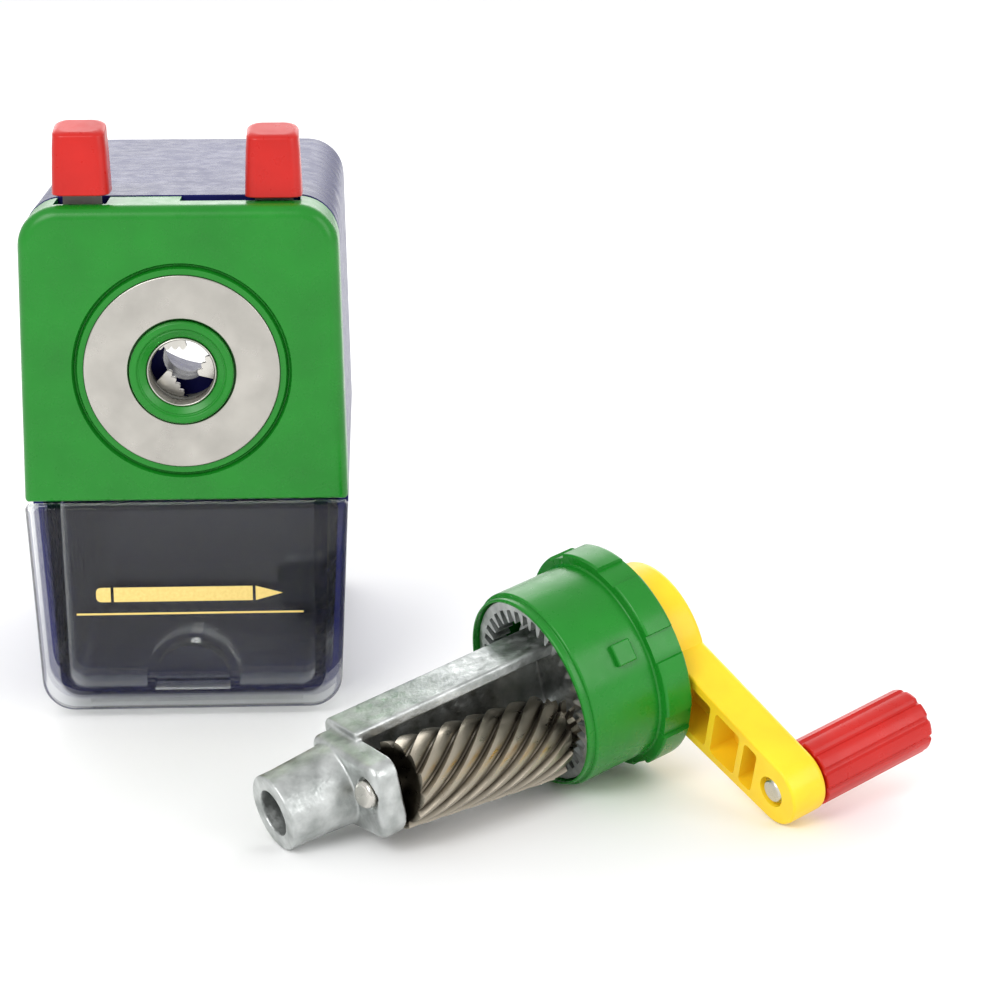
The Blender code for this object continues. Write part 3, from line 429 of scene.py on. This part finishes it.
def turned(name, corners, steps=96):
    """A body of revolution about local Z from (radius, z, fillet radius) corners of its section."""
    outline = rounded(corners, steps=4)
    bm = bmesh.new()
    rings = []
    for step in range(steps):
        turn = 2 * math.pi * step / steps
        rings.append([bm.verts.new((p.x * math.cos(turn), p.x * math.sin(turn), p.y)) for p in outline])
    for here, there in zip(rings, rings[1:] + rings[:1]):
        for index in range(len(outline)):
            after = (index + 1) % len(outline)
            if max(outline[index].x, outline[after].x) > 0:
                bm.faces.new((here[index], here[after], there[after], there[index]))
    bmesh.ops.remove_doubles(bm, verts=bm.verts, dist=1e-7)
    bmesh.ops.dissolve_degenerate(bm, edges=bm.edges, dist=1e-7)
    return from_bmesh(name, bm)


def cylinder(name, radius, low, high, steps=48):
    """A plain round bar along local Z."""
    return extruded(name, [polar(radius, 360 * step / steps) for step in range(steps)], low, high)


def block(name, low, high):
    """A box between two corners."""
    bm = bmesh.new()
    size, middle = Vector(high) - Vector(low), (Vector(high) + Vector(low)) / 2
    bmesh.ops.create_cube(bm, size=1, matrix=Matrix.Translation(middle) @ Matrix.Diagonal((*size, 1)))
    return from_bmesh(name, bm)


def wire(name, points, radius, sides=10, closed_ends=True):
    """A round wire through points."""
    data = bpy.data.curves.new(name, "CURVE")
    data.dimensions = "3D"
    data.bevel_depth = radius
    data.bevel_resolution = max(1, sides // 4)
    data.use_fill_caps = closed_ends
    spline = data.splines.new("POLY")
    spline.points.add(len(points) - 1)
    for target, point in zip(spline.points, points):
        target.co = (*point, 1)
    curve = new_object(name, data)
    mesh = bpy.data.meshes.new_from_object(curve.evaluated_get(bpy.context.evaluated_depsgraph_get()))
    bpy.data.objects.remove(curve)
    return new_object(name, mesh)


def moved(piece, matrix):
    """Transform a piece's mesh inside its frame."""
    piece.data.transform(matrix)
    return piece


def at(x, y):
    """Offset in the XY plane of a frame."""
    return Matrix.Translation((x, y, 0))


def apply_modifiers(piece):
    """Replace a piece's mesh by what its modifiers make of it."""
    mesh = bpy.data.meshes.new_from_object(piece.evaluated_get(bpy.context.evaluated_depsgraph_get()))
    piece.modifiers.clear()
    old, piece.data = piece.data, mesh
    bpy.data.meshes.remove(old)
    return piece


def combine(piece, *others, operation="DIFFERENCE"):
    """Cut a piece by, or join it to, other shapes, which are used up."""
    for other in others:
        modifier = piece.modifiers.new("combine", "BOOLEAN")
        modifier.operation = operation
        modifier.solver = "EXACT"
        modifier.object = other
        piece.modifiers.new("triangles", "TRIANGULATE")
        apply_modifiers(piece)
        bpy.data.objects.remove(other)
    return piece


def join(piece, *others):
    """Union of shapes."""
    return combine(piece, *others, operation="UNION")


def clean(piece):
    """Merge the triangles of flat areas and drop slivers."""
    bm = bmesh.new()
    bm.from_mesh(piece.data)
    bmesh.ops.remove_doubles(bm, verts=bm.verts, dist=2e-6)
    bmesh.ops.dissolve_degenerate(bm, edges=bm.edges, dist=2e-6)
    bmesh.ops.dissolve_limit(bm, angle_limit=math.radians(0.4), verts=bm.verts, edges=bm.edges)
    bm.to_mesh(piece.data)
    bm.free()
    return piece


def soften(piece, width, angle=40, segments=3):
    """Round the sharp edges of a piece."""
    clean(piece)
    modifier = piece.modifiers.new("rounded edges", "BEVEL")
    modifier.width = width
    modifier.segments = segments
    modifier.limit_method = "ANGLE"
    modifier.angle_limit = math.radians(angle)
    modifier.use_clamp_overlap = True
    return apply_modifiers(piece)


def cast(piece, voxel, smoothing):
    """Melt the edges and inner corners of a piece as casting does."""
    remesh = piece.modifiers.new("skin", "REMESH")
    remesh.mode = "VOXEL"
    remesh.voxel_size = voxel
    smooth = piece.modifiers.new("smooth", "SMOOTH")
    smooth.iterations = smoothing
    smooth.factor = 0.5
    return apply_modifiers(piece)


def place(piece, matrix, body, material, nodes=(), crease=38):
    """Put a finished piece in its frame, on its body, in place of its CAD nodes."""
    piece.data.materials.clear()
    piece.data.materials.append(material)
    piece.data.shade_smooth()
    piece.data.set_sharp_from_angle(angle=math.radians(crease))
    normals = piece.modifiers.new("even normals", "WEIGHTED_NORMAL")
    normals.keep_sharp = True
    if material in (STEEL, TURNED):          # their grain follows the piece's own axis
        piece.matrix_world = matrix
    else:
        piece.data.transform(matrix)
    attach(piece, body)
    if nodes:
        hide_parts(*nodes)
    return piece


# ---- outlines -----------------------------------------------------------

def half_width(height):
    """Half the body's width at a height: widest at the seam."""
    if height > SEAM:
        share = (height - SEAM) / (BODY_TOP - SEAM)
        return HALF_WIDTH_SEAM + (HALF_WIDTH_TOP - HALF_WIDTH_SEAM) * share
    share = (height - BODY_BOTTOM) / (SEAM - BODY_BOTTOM)
    return HALF_WIDTH_BOTTOM + (HALF_WIDTH_SEAM - HALF_WIDTH_BOTTOM) * share


def body_outline(bottom, top, bottom_radius, top_radius, inset=0.0, lift=0.0):
    """Front outline of the body between two heights, mirrored left and right."""
    sharpest = 0.0002
    low, high = bottom + lift, top - inset
    right = [(half_width(bottom) - inset, low, max(bottom_radius - inset, sharpest))]
    if bottom < SEAM < top:
        right.append((half_width(SEAM) - inset, SEAM, 0))
    right.append((half_width(top) - inset, high, max(top_radius - inset, sharpest)))
    left = [(-x, height, radius) for x, height, radius in reversed(right)]
    return rounded(right + left)


# ---- housing ------------------------------------------------------------

def make_housing():
    """Navy shell with its drawer bay, ledges and the socket for the cutter hub."""
    shell = filleted("housing_cover",
                     lambda inset: body_outline(BODY_BOTTOM, BODY_TOP, BOTTOM_CORNER, TOP_CORNER,
                                                inset, inset),
                     FACE_BACK - GAP, -FRONT, 0.0022, foot=0.0003)
    rear_wall = 0.0028 - FRONT
    hollow = body_outline(BODY_BOTTOM, BODY_TOP, BOTTOM_CORNER, TOP_CORNER, WALL, WALL)
    combine(shell, extruded("hollow", hollow, rear_wall, FRONT))
    for side in (-1, 1):
        outer, inner = sorted((side * (HALF_WIDTH_SEAM - 0.001), side * 0.0235))
        join(shell, block("ledge", (outer, SEAM + 0.0006, rear_wall - 0.001),
                          (inner, SEAM + 0.0022, FACE_BACK - 0.006)))
    join(shell, moved(cylinder("socket", HUB_RADIUS + 0.0024, rear_wall - 0.001, rear_wall + 0.0130, 96),
                      at(0, AXIS_HEIGHT)))
    combine(shell, moved(cylinder("hub_bore", HUB_RADIUS + GAP, -FRONT - 0.002, rear_wall + 0.0140, 96),
                         at(0, AXIS_HEIGHT)))
    for turn in (0, 180):
        slot = block("bayonet_slot", (HUB_RADIUS - 0.003, -0.0026, -FRONT - 0.002),
                     (HUB_RADIUS + 0.0014, 0.0026, rear_wall + 0.0150))
        combine(shell, moved(slot, at(0, AXIS_HEIGHT) @ Matrix.Rotation(math.radians(turn), 4, "Z")))
    place(clean(shell), FRONT_FRAME, "housing", NAVY, ("housing_shell",))


# ---- drawer -------------------------------------------------------------

def finger_arch(margin, bottom):
    """Arch outline of the finger recess, grown by a margin."""
    radius = 0.0075 + margin
    crown = reversed(arc((0, 0.0078), radius, 0, 180, 32))
    return [Vector((-radius, bottom)), *crown, Vector((radius, bottom))]


def make_drawer():
    """Clear shavings drawer: a full-width front, a narrower tray and a finger recess."""
    panel_top = SEAM - 0.0005
    panel_bottom = BODY_BOTTOM + 0.0002
    panel_back = FRONT - 0.0030
    drawer = filleted("clear_drawer",
                      lambda inset: body_outline(panel_bottom, panel_top, BOTTOM_CORNER - 0.0005, 0.0008,
                                                 inset, inset),
                      panel_back, FRONT, 0.0012, foot=0.0003)
    floor = BODY_BOTTOM + WALL + 0.0006
    half = HALF_WIDTH_BOTTOM - WALL - 0.0012
    tray_top = SEAM - 0.0008
    join(drawer, extruded("tray", rounded([(half, floor, 0.004), (half + 0.0012, tray_top, 0),
                                           (-half - 0.0012, tray_top, 0), (-half, floor, 0.004)]),
                          -FRONT + 0.0050, FRONT - 0.001))
    inside = rounded([(half - 0.0020, floor + 0.0020, 0.003), (half - 0.0008, BODY_TOP, 0),
                      (-half + 0.0008, BODY_TOP, 0), (-half + 0.0020, floor + 0.0020, 0.003)])
    combine(drawer, extruded("scoop", inside, -FRONT + 0.0070, FRONT - 0.0026))
    join(drawer, extruded("recess_wall", finger_arch(0.0018, floor), FRONT - 0.0070, FRONT - 0.001))
    combine(drawer, extruded("recess", finger_arch(0.0, BODY_BOTTOM + 0.0045), FRONT - 0.0052, FRONT + 0.001))
    for side in (-1, 1):
        x = side * (half + 0.0016)
        join(drawer, block("catch", (min(x - side * 0.002, x), floor + 0.0055, FRONT - 0.0120),
                           (max(x - side * 0.002, x), floor + 0.0085, FRONT - 0.0090)))
    place(soften(drawer, 0.00025), FRONT_FRAME, "drawer", CLEAR, ("drawer_bin",))


def make_print():
    """Generic gold ornament on the drawer front: a rule and a plain pencil pictogram."""
    height = 0.0225
    thick = 0.00004
    parts = [block("print_rule", (-0.0225, height - 0.0005, FRONT), (0.0225, height - 0.0001, FRONT + thick))]
    low, high = height + 0.0022, height + 0.0052
    middle = (low + high) / 2
    parts.append(extruded("print_barrel", [Vector(p) for p in (
        (-0.0150, low), (0.0125, low), (0.0125, high), (-0.0150, high))], FRONT, FRONT + thick))
    parts.append(extruded("print_point", [Vector(p) for p in (
        (0.0131, low), (0.0185, middle), (0.0131, high))], FRONT, FRONT + thick))
    parts.append(extruded("print_cap", rounded([(-0.0185, low, 0.001), (-0.0156, low, 0), (-0.0156, high, 0),
                                                (-0.0185, high, 0.001)], 4), FRONT, FRONT + thick))
    for piece in parts:
        place(piece, FRONT_FRAME, "drawer", GOLD)


# ---- face plate and pencil chuck ----------------------------------------

def make_face():
    """Green face plate with its dial ring, nose ring and ferrule."""
    back = FACE_BACK
    face = filleted("face_cover",
                    lambda inset: body_outline(SEAM + 0.0002, BODY_TOP - 0.0002, 0.0008, TOP_CORNER,
                                               inset, inset / 3),
                    back, FRONT, 0.0026, steps=10)
    hollow = body_outline(SEAM, BODY_TOP - 0.0002, 0.0008, TOP_CORNER, WALL, WALL)
    combine(face, extruded("face_hollow", hollow, back - 0.001, FRONT - WALL))
    chuck = at(0, AXIS_HEIGHT) @ Matrix.Translation((0, 0, FRONT))
    groove = turned("groove", [(GROOVE_RADIUS - GROOVE_WIDTH, 0.001, 0),
                               (GROOVE_RADIUS - GROOVE_WIDTH, -0.0003, 0.0001),
                               (GROOVE_RADIUS - GROOVE_WIDTH / 2, -0.0016, 0.0002),
                               (GROOVE_RADIUS, -0.0003, 0.0001), (GROOVE_RADIUS, 0.001, 0)], 128)
    seat = cylinder("dial_seat", DIAL_RADIUS + GAP / 3, -0.0010, 0.001, 128)
    hole = cylinder("chuck_hole", NOSE_RING_RADIUS + GAP - 0.0020, -0.004, 0.001, 96)
    combine(face, *(moved(piece, chuck) for piece in (groove, seat, hole)))
    for low, high, depth in ((-0.0238, -0.0136, 0.0084), (0.0002, 0.0234, 0.0054)):
        combine(face, block("lever_notch", (low, BODY_TOP - 0.006, back - 0.001),
                            (high, BODY_TOP + 0.002, back + depth)))
    for side in (-1, 1):
        boss = cylinder("rod_boss", ROD_RADIUS + 0.0020, back + 0.0028, FRONT - 0.001)
        join(face, moved(boss, at(side * ROD_X, ROD_HEIGHT)))
    place(clean(face), FRONT_FRAME, "face", GREEN, ("face_plate",))

    dial = turned("dial_plate", [(DIAL_HOLE, -0.0006, 0.0001), (DIAL_RADIUS, -0.0006, 0.0001),
                                 (DIAL_RADIUS, 0.0004, 0.00025), (DIAL_HOLE, 0.0004, 0.00025)], 160)
    place(dial, CHUCK_FRAME, "face", TURNED, ("dial_ring",))
    ring = turned("nose_bezel", [
        (NOSE_RING_RADIUS, -0.0006, 0), (NOSE_RING_RADIUS, 0.0016, 0.0005), (0.0088, 0.0016, 0.0003),
        (0.0084, 0.0010, 0.0002), (0.0082, 0.0012, 0.0001), (FERRULE_RADIUS + GAP / 3, 0.0004, 0.0002),
        (FERRULE_RADIUS + GAP / 3, -0.0030, 0), (NOSE_RING_RADIUS - 0.0020, -0.0030, 0),
        (NOSE_RING_RADIUS - 0.0020, -0.0006, 0)], 128)
    place(ring, CHUCK_FRAME, "face", GREEN, ("nose_ring",))

    threads = []
    turns = 4
    for turn in range(turns):
        height = 0.0002 - 0.0032 * turn / turns
        threads += [(PENCIL_ENTRY + 0.0003, height, 0), (PENCIL_ENTRY, height - 0.0004, 0)]
    ferrule = turned("threaded_ferrule", [
        (FERRULE_RADIUS, -0.0032, 0), (FERRULE_RADIUS, 0.0008, 0.0003),
        (PENCIL_ENTRY + 0.0001, 0.0008, 0.0002),
        *threads, (PENCIL_ENTRY + 0.0002, -0.0032, 0)], 96)
    place(ferrule, CHUCK_FRAME, "face", TURNED, ("nose_ferrule",))


def jaw_outline():
    """One jaw about its pivot: local X runs away from the pencil axis, Y along the serrated edge."""
    teeth, pitch, depth, start = 5, 0.0015, 0.0007, -0.0006
    edge = []
    for tooth in range(teeth):
        middle = start + (tooth + 0.5) * pitch
        for step in range(9):
            share = step / 8
            hollow = depth * (1 - math.sin(math.pi * share))
            edge.append(Vector((JAW_EDGE + hollow, middle + (share - 0.5) * pitch)))
    back = rounded([(0.0060, 0.0092, 0.0010), (0.0100, 0.0112, 0.0018), (0.0130, 0.0080, 0.0018),
                    (0.0124, -0.0012, 0.0010)], steps=8)
    return [point - JAW_PIVOT for point in [*edge, *back]]


def slot_outline(start, end, radius):
    """Round-ended slot between two points."""
    along = math.degrees(math.atan2(end.y - start.y, end.x - start.x))
    return [*arc(start, radius, along + 90, along + 270, 12), *arc(end, radius, along - 90, along + 90, 12)]


def make_jaws():
    """Stamped steel jaws with rounded serrations."""
    slot = slot_outline(PEG_REST - JAW_PIVOT, PEG_OPEN - JAW_PIVOT, 0.0012)
    for number, angle in enumerate(JAW_ANGLES, start=1):
        jaw = extruded(f"chuck_jaw_{number}", jaw_outline(), -JAW_DEPTH - JAW_THICKNESS, -JAW_DEPTH)
        combine(jaw, extruded("cam_slot", slot, -0.012, 0.0), cylinder("pin_hole", 0.0012, -0.020, 0.0, 32))
        pivot = Matrix.Rotation(math.radians(angle), 2) @ JAW_PIVOT
        matrix = CHUCK_FRAME @ at(*pivot) @ Matrix.Rotation(math.radians(angle), 4, "Z")
        body = f"jaw_{'abc'[number - 1]}"
        place(soften(jaw, 0.00015), matrix, body, BRIGHT, (f"jaw_{number}",))


def make_lever_cap(name, node, body, side, depth, foot):
    """Tapered red finger cap with a softly crowned top, hollow over its lever tab."""
    height = 0.0140
    crown = 0.0012
    sections = [(0.0, 0.0002), (0.0002, 0.0), (0.0050, 0.00016), (0.0090, 0.00032)]
    layers = []
    for level, draw in sections:
        layers.append((level, draw))
    for step in range(9):
        angle = math.radians(90 * step / 8)
        layers.append((height - crown + crown * math.sin(angle), 0.00050 + crown * (1 - math.cos(angle))))
    rings = []
    for level, draw in layers:
        wide, deep = 0.0055 - draw, 0.0044 - draw
        rings.append((rounded([(wide, -deep, 0.0022), (wide, deep, 0.0022), (-wide, deep, 0.0022),
                               (-wide, -deep, 0.0022)], steps=8), level))
    cap = lofted(name, rings)
    for vertex in cap.data.vertices:         # the top slopes down towards the front
        share = max(0.0, (vertex.co.z - 0.0090) / (height - 0.0090))
        vertex.co.z += 0.27 * share * (vertex.co.y - 0.0044)
    combine(cap, block("cap_slit", (-LEVER_HALF - GAP, -PLATE / 2 - GAP, -0.001),
                       (LEVER_HALF + GAP, PLATE / 2 + GAP, TAB_IN_CAP + GAP)))
    matrix = (CHUCK_FRAME @ Matrix.Translation((side * LEVER_X, foot, -depth))
              @ Matrix.Rotation(-math.pi / 2, 4, "X"))
    place(clean(cap), matrix, body, RED, (node,))


def make_feed_springs():
    """Steel coils round the guide rods, which close up as the face is pulled out."""
    for side, name in ((-1, "left"), (1, "right")):
        low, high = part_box(f"feed_spring_{name}")
        turns, per_turn, radius, gauge = 21, 24, ROD_RADIUS + 0.0009, 0.00032
        points = []
        for step in range(turns * per_turn + 1):
            share = step / (turns * per_turn)
            around = polar(radius, 360 * turns * share)
            points.append((side * ROD_X + around.x, low.y + gauge + (high.y - low.y - 2 * gauge) * share,
                           ROD_HEIGHT + around.y))
        spring = wire(f"feed_coil_{name}", points, gauge, 8)
        place(spring, Matrix.Identity(4), "housing", BRIGHT, (f"feed_spring_{name}",))
        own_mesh(spring)


# ---- cutter unit --------------------------------------------------------

def make_hub():
    """Green hub with its stepped rim, bayonet lugs and grip flange."""
    round_edge = 0.0005
    hub = turned("hub_cover", [
        (HUB_RADIUS - 0.0007, HUB_FRONT, round_edge), (HUB_RADIUS - 0.0007, HUB_FRONT + HUB_STEP, 0.0002),
        (HUB_RADIUS, HUB_FRONT + HUB_STEP, 0.0004), (HUB_RADIUS, FLANGE_FRONT, 0.0004),
        (FLANGE_RADIUS, FLANGE_FRONT, round_edge), (FLANGE_RADIUS, HUB_BACK, 0.0008),
        (SPINDLE_RADIUS + 0.0018, HUB_BACK, 0.0002), (SPINDLE_RADIUS + 0.0018, HUB_BACK - 0.0060, 0),
        (0.0110, HUB_BACK - 0.0060, 0), (0.0110, HUB_BACK - 0.0030, 0), (HUB_BORE, HUB_BACK - 0.0030, 0.001),
        (HUB_BORE, HUB_FRONT, 0.0003)], 144)
    for number in range(8):
        dip = extruded("grip_dip", [*arc((0, 0), FLANGE_RADIUS - 0.0007, -7, 7, 8),
                                    *arc((0, 0), FLANGE_RADIUS + 0.003, 9, -9, 8)],
                       FLANGE_FRONT - 0.001, HUB_BACK + 0.001)
        combine(hub, moved(dip, Matrix.Rotation(math.radians(22 + 45 * number), 4, "Z")))
    for turn in (62, 242):
        lug = block("bayonet_lug", (HUB_RADIUS - 0.0008, -0.0021, LUG_FRONT),
                    (HUB_RADIUS + 0.0011, 0.0021, LUG_BACK))
        join(hub, moved(soften(lug, 0.0003), Matrix.Rotation(math.radians(turn), 4, "Z")))
    place(clean(hub), UNIT_FRAME, "hub", GREEN, ("hub_shell",))


def make_carrier():
    """Cast zinc carrier: nose tube, yoke, open trough, rear plate and spindle."""
    carrier = turned("zinc_carrier", [
        (0, 0, 0), (NOSE_RADIUS, 0, 0.0002), (NOSE_RADIUS, 0.0030, 0), (0.0077, NOSE_LENGTH, 0),
        (0.0077, YOKE_BACK, 0), (0, YOKE_BACK, 0)], 64)
    yoke = filleted("yoke", lambda inset: rounded([
        (0.0082 - inset, -0.0068 + inset, 0.0030), (0.0082 - inset, YOKE_TOP - inset, 0.0026),
        (-0.0062 + inset, YOKE_TOP - inset, 0.0034), (-0.0086 + inset, -0.0060 + inset, 0.0040)]),
        YOKE_BACK, NOSE_LENGTH, 0.0012)
    trough = extruded("trough", rounded([
        (0.0098, -0.0078, 0.0030), (0.0098, 0.0040, 0.0006), (-0.0090, 0.0040, 0.0006),
        (-0.0090, -0.0078, 0.0030)]), YOKE_BACK - 0.001, TROUGH_BACK)
    join(carrier, yoke, trough, cylinder("rear_plate", 0.0128, REAR_PLATE_FRONT, REAR_PLATE_BACK, 64),
         cylinder("spindle", SPINDLE_RADIUS, REAR_PLATE_BACK - 0.0005, HUB_BACK + 0.0070))
    to_unit = UNIT_FRAME.inverted() @ CUTTER_FRAME
    well = extruded("well", rounded([
        (0.0076, -0.0056, 0.0026), (0.0076, 0.0150, 0.0010), (-0.0072, 0.0150, 0.0010),
        (-0.0072, -0.0056, 0.0026)]), YOKE_BACK, REAR_PLATE_FRONT)
    bores = turned("axle_bores", [(0, -0.0120, 0), (0.0030, -0.0120, 0), (0.0030, -0.0021, 0),
                                  (AXLE_RADIUS + GAP, -0.0021, 0), (AXLE_RADIUS + GAP, AXLE_BORE_BACK, 0),
                                  (0, AXLE_BORE_BACK, 0)], 32)
    combine(carrier, well, cylinder("pencil_bore", NOSE_BORE, -0.001, YOKE_BACK + 0.001),
            moved(cylinder("cutter_sweep", CUTTER_RADIUS + 0.0005, 0.0022, CUTTER_BACK + 0.0010, 64),
                  to_unit),
            moved(cylinder("pinion_sweep", PINION_TIP + 0.0005, CUTTER_BACK + 0.0004, 0.0467, 64), to_unit),
            moved(bores, to_unit))
    cast(carrier, 0.00022, 4)
    place(carrier, UNIT_FRAME, "crank", ZINC, ("cutter_carrier",), crease=180)


def make_cutter():
    """Helical milling cutter: sawtooth flutes with a narrow bright land on each."""
    pitch = 360 / CUTTER_FLUTES
    depth = 0.0012
    section = []
    for flute in range(CUTTER_FLUTES):
        section.append(polar(CUTTER_RADIUS, flute * pitch))
        section.append(polar(CUTTER_RADIUS - 0.00003, (flute + 0.08) * pitch))
        for step in range(1, 9):
            share = step / 8
            fall = depth * (0.25 * share + 0.75 * share * share)
            if share >= 0.8:
                fall = depth * (1 - (share - 0.8) * 0.6)
            section.append(polar(CUTTER_RADIUS - fall, (flute + 0.08 + 0.80 * share) * pitch))
    length = CUTTER_BACK - CUTTER_FRONT
    twist = -length * math.tan(math.radians(CUTTER_HELIX)) / CUTTER_RADIUS
    cutter = extruded("milling_cutter", section, CUTTER_FRONT, CUTTER_BACK, twist, steps=90)
    combine(cutter, cylinder("cutter_bore", AXLE_RADIUS + GAP, 0.0, 0.060, 32))
    place(clean(cutter), CUTTER_FRAME, "cutter", STEEL, ("helical_cutter",))
    axle = turned("riveted_axle", [(0, -0.0044, 0), (0.0024, -0.0044, 0.0008), (0.0026, -0.0024, 0.0002),
                                   (AXLE_RADIUS, -0.0024, 0), (AXLE_RADIUS, AXLE_BACK, 0.0003),
                                   (0, AXLE_BACK, 0)], 48)
    place(axle, CUTTER_FRAME, "crank", BRIGHT, ("cutter_axle",))


def crank_outline(inset):
    """Round hub and tapering arm of the crank, the arm along local X."""
    hub, tip = CRANK_HUB_RADIUS - inset, CRANK_TIP_RADIUS - inset
    waist = CRANK_TIP_RADIUS + 0.0013 - inset
    start = math.degrees(math.asin(waist / hub))
    return [*arc((0, 0), hub, start, 360 - start, 72), *arc((CRANK_RADIUS, 0), tip, -90, 90, 32)]


def make_crank():
    """Yellow crank with its pocketed arm, screw and knob pin, and the red knob."""
    front, back = CRANK_FRONT, CRANK_BACK
    crank = filleted("crank", crank_outline, front, back, 0.0012, foot=0.0005)
    combine(crank, cylinder("spindle_socket", SPINDLE_RADIUS + GAP, front - 0.001, HUB_BACK + 0.0070 + GAP),
            cylinder("screw_clearance", 0.0018, front - 0.001, back + 0.001),
            cylinder("screw_seat", 0.0036, back - 0.0010, back + 0.001),
            moved(cylinder("pin_clearance", 0.0018, front - 0.001, back + 0.001), at(CRANK_RADIUS, 0)),
            moved(cylinder("pin_seat", 0.0030, front - 0.001, front + 0.0012), at(CRANK_RADIUS, 0)))
    wall = 0.0018
    for start, end in ((0.0135, 0.0245), (0.0260, 0.0330), (0.0344, 0.0380)):
        half_start, half_end = (CRANK_TIP_RADIUS + 0.0013 * (1 - x / CRANK_RADIUS) - wall
                                for x in (start, end))
        pocket = extruded("arm_pocket", rounded([
            (start, -half_start, 0.0009), (end, -half_end, 0.0009), (end, half_end, 0.0009),
            (start, half_start, 0.0009)], steps=6), front - 0.001, back - 0.0022)
        combine(crank, pocket)
    place(clean(crank), CRANK_FRAME, "crank", YELLOW, ("crank_arm",))

    screw = turned("crank_bolt", [(0, HUB_BACK - 0.0030, 0), (0.0015, HUB_BACK - 0.0030, 0),
                                  (0.0015, back - 0.0007, 0), (0.0032, back - 0.0007, 0.0001),
                                  (0.0030, back + 0.0012, 0.0008), (0, back + 0.0014, 0)], 48)
    for turn in (0, 90):
        slot = block("driver_slot", (-0.0019, -0.0004, back + 0.0003), (0.0019, 0.0004, back + 0.002))
        combine(screw, moved(slot, Matrix.Rotation(math.radians(turn), 4, "Z")))
    place(clean(screw), CRANK_FRAME, "crank", BRIGHT, ("crank_screw",))
    head = front - back
    pin = turned("knob_rivet", [(0, head + 0.0001, 0), (0.0020, head + 0.0001, 0.0004),
                                (0.0026, head + 0.0009, 0),
                                (0.0015, head + 0.0009, 0), (0.0015, KNOB_LENGTH - 0.0040, 0),
                                (0, KNOB_LENGTH - 0.0040, 0)], 48)
    place(pin, KNOB_FRAME, "crank", BRIGHT, ("knob_pin",))

    def knob_outline(inset):
        points = []
        for flute in range(10):
            for step in range(13):
                share = step / 12
                dip = 0.0005 * math.sin(math.pi * (share - 0.62) / 0.38) ** 0.5 if share > 0.62 else 0.0
                points.append(polar(KNOB_RADIUS - dip - inset, (flute + share * 12 / 13) * 36))
        return points

    knob = filleted("knob", knob_outline, 0.0004, KNOB_LENGTH, 0.0011, foot=0.0004)
    combine(knob, cylinder("knob_bore", 0.0018, -0.001, KNOB_LENGTH - 0.0030, 32))
    place(clean(knob), KNOB_FRAME, "knob", RED, ("crank_knob",))


# ---- pieces kept from the model -----------------------------------------

def dress_model():
    """Give the pieces kept from the model their finish and smooth their round faces."""
    slots = {part["node"]: part["material_slot"] for part in frame["record"]["subparts"]}
    for name, node in frame["nodes"].items():
        node.data.materials.clear()
        node.data.materials.append(FINISH[slots[name]])
        if "custom_normal" in node.data.attributes:
            node.data.attributes.remove(node.data.attributes["custom_normal"])
        node.data.polygons.foreach_set("use_smooth", [True] * len(node.data.polygons))
        weld = node.modifiers.new("weld", "WELD")
        weld.merge_threshold = 0.000002
        split = node.modifiers.new("creases", "EDGE_SPLIT")
        split.split_angle = math.radians(34)


# ---- stage --------------------------------------------------------------

def softbox(name, place_at, size, power, target=(0.03, -0.05, 0.05)):
    """A rectangular soft light aimed at the object."""
    light = bpy.data.lights.new(name, "AREA")
    light.shape = "RECTANGLE"
    light.size, light.size_y = size
    light.energy = power
    lamp = new_object(name, light)
    lamp.location = place_at
    lamp.rotation_euler = (Vector(target) - Vector(place_at)).to_track_quat("-Z", "Y").to_euler()


def make_stage():
    """Pale floor, white surroundings, soft lights and the camera."""
    floor = block("floor", (-4, -4, -0.010), (4, 4, 0.0))
    recipe = Recipe("pale_floor", 0.6)
    recipe.colour(recipe.noise(3, 2), (0.92, 0.92, 0.92), (0.95, 0.95, 0.95))
    floor.data.materials.append(recipe.material)
    world = bpy.data.worlds.new("white_room")
    world.use_nodes = True
    world.node_tree.nodes["Background"].inputs["Color"].default_value = (1.0, 1.0, 1.0, 1)
    world.node_tree.nodes["Background"].inputs["Strength"].default_value = 0.80
    bpy.context.scene.world = world
    softbox("key_light", (-0.55, -1.00, 0.95), (0.7, 0.7), 9.0)
    softbox("fill_light", (0.95, -0.75, 0.60), (0.6, 0.8), 4.0)
    softbox("back_light", (0.05, 1.30, 0.75), (2.4, 1.0), 16.0)
    bpy.context.scene.view_settings.view_transform = "Standard"

    camera = bpy.data.objects.new("camera", bpy.data.cameras.new("camera"))
    bpy.context.scene.collection.objects.link(camera)
    camera.location = (0.038667, -0.53586, 0.185383)
    camera.rotation_euler = (math.radians(74), 0, math.radians(-2.7))
    camera.data.lens = 92.8
    camera.data.clip_start = 0.01
    bpy.context.scene.camera = camera


dress_model()
make_housing()
make_drawer()
make_print()
make_face()
make_jaws()
make_lever_cap("left_finger_cap", "left_lever_cap", "face", -1, CHUCK_PLATE_DEPTH + PLATE / 2, CAP_FOOT)
make_lever_cap("right_finger_cap", "right_lever_cap", "clamp", 1, CLAMP_DEPTH + PLATE / 2,
               CAP_FOOT - CAP_DROP)
make_feed_springs()
make_hub()
make_carrier()
make_cutter()
make_crank()
make_stage()
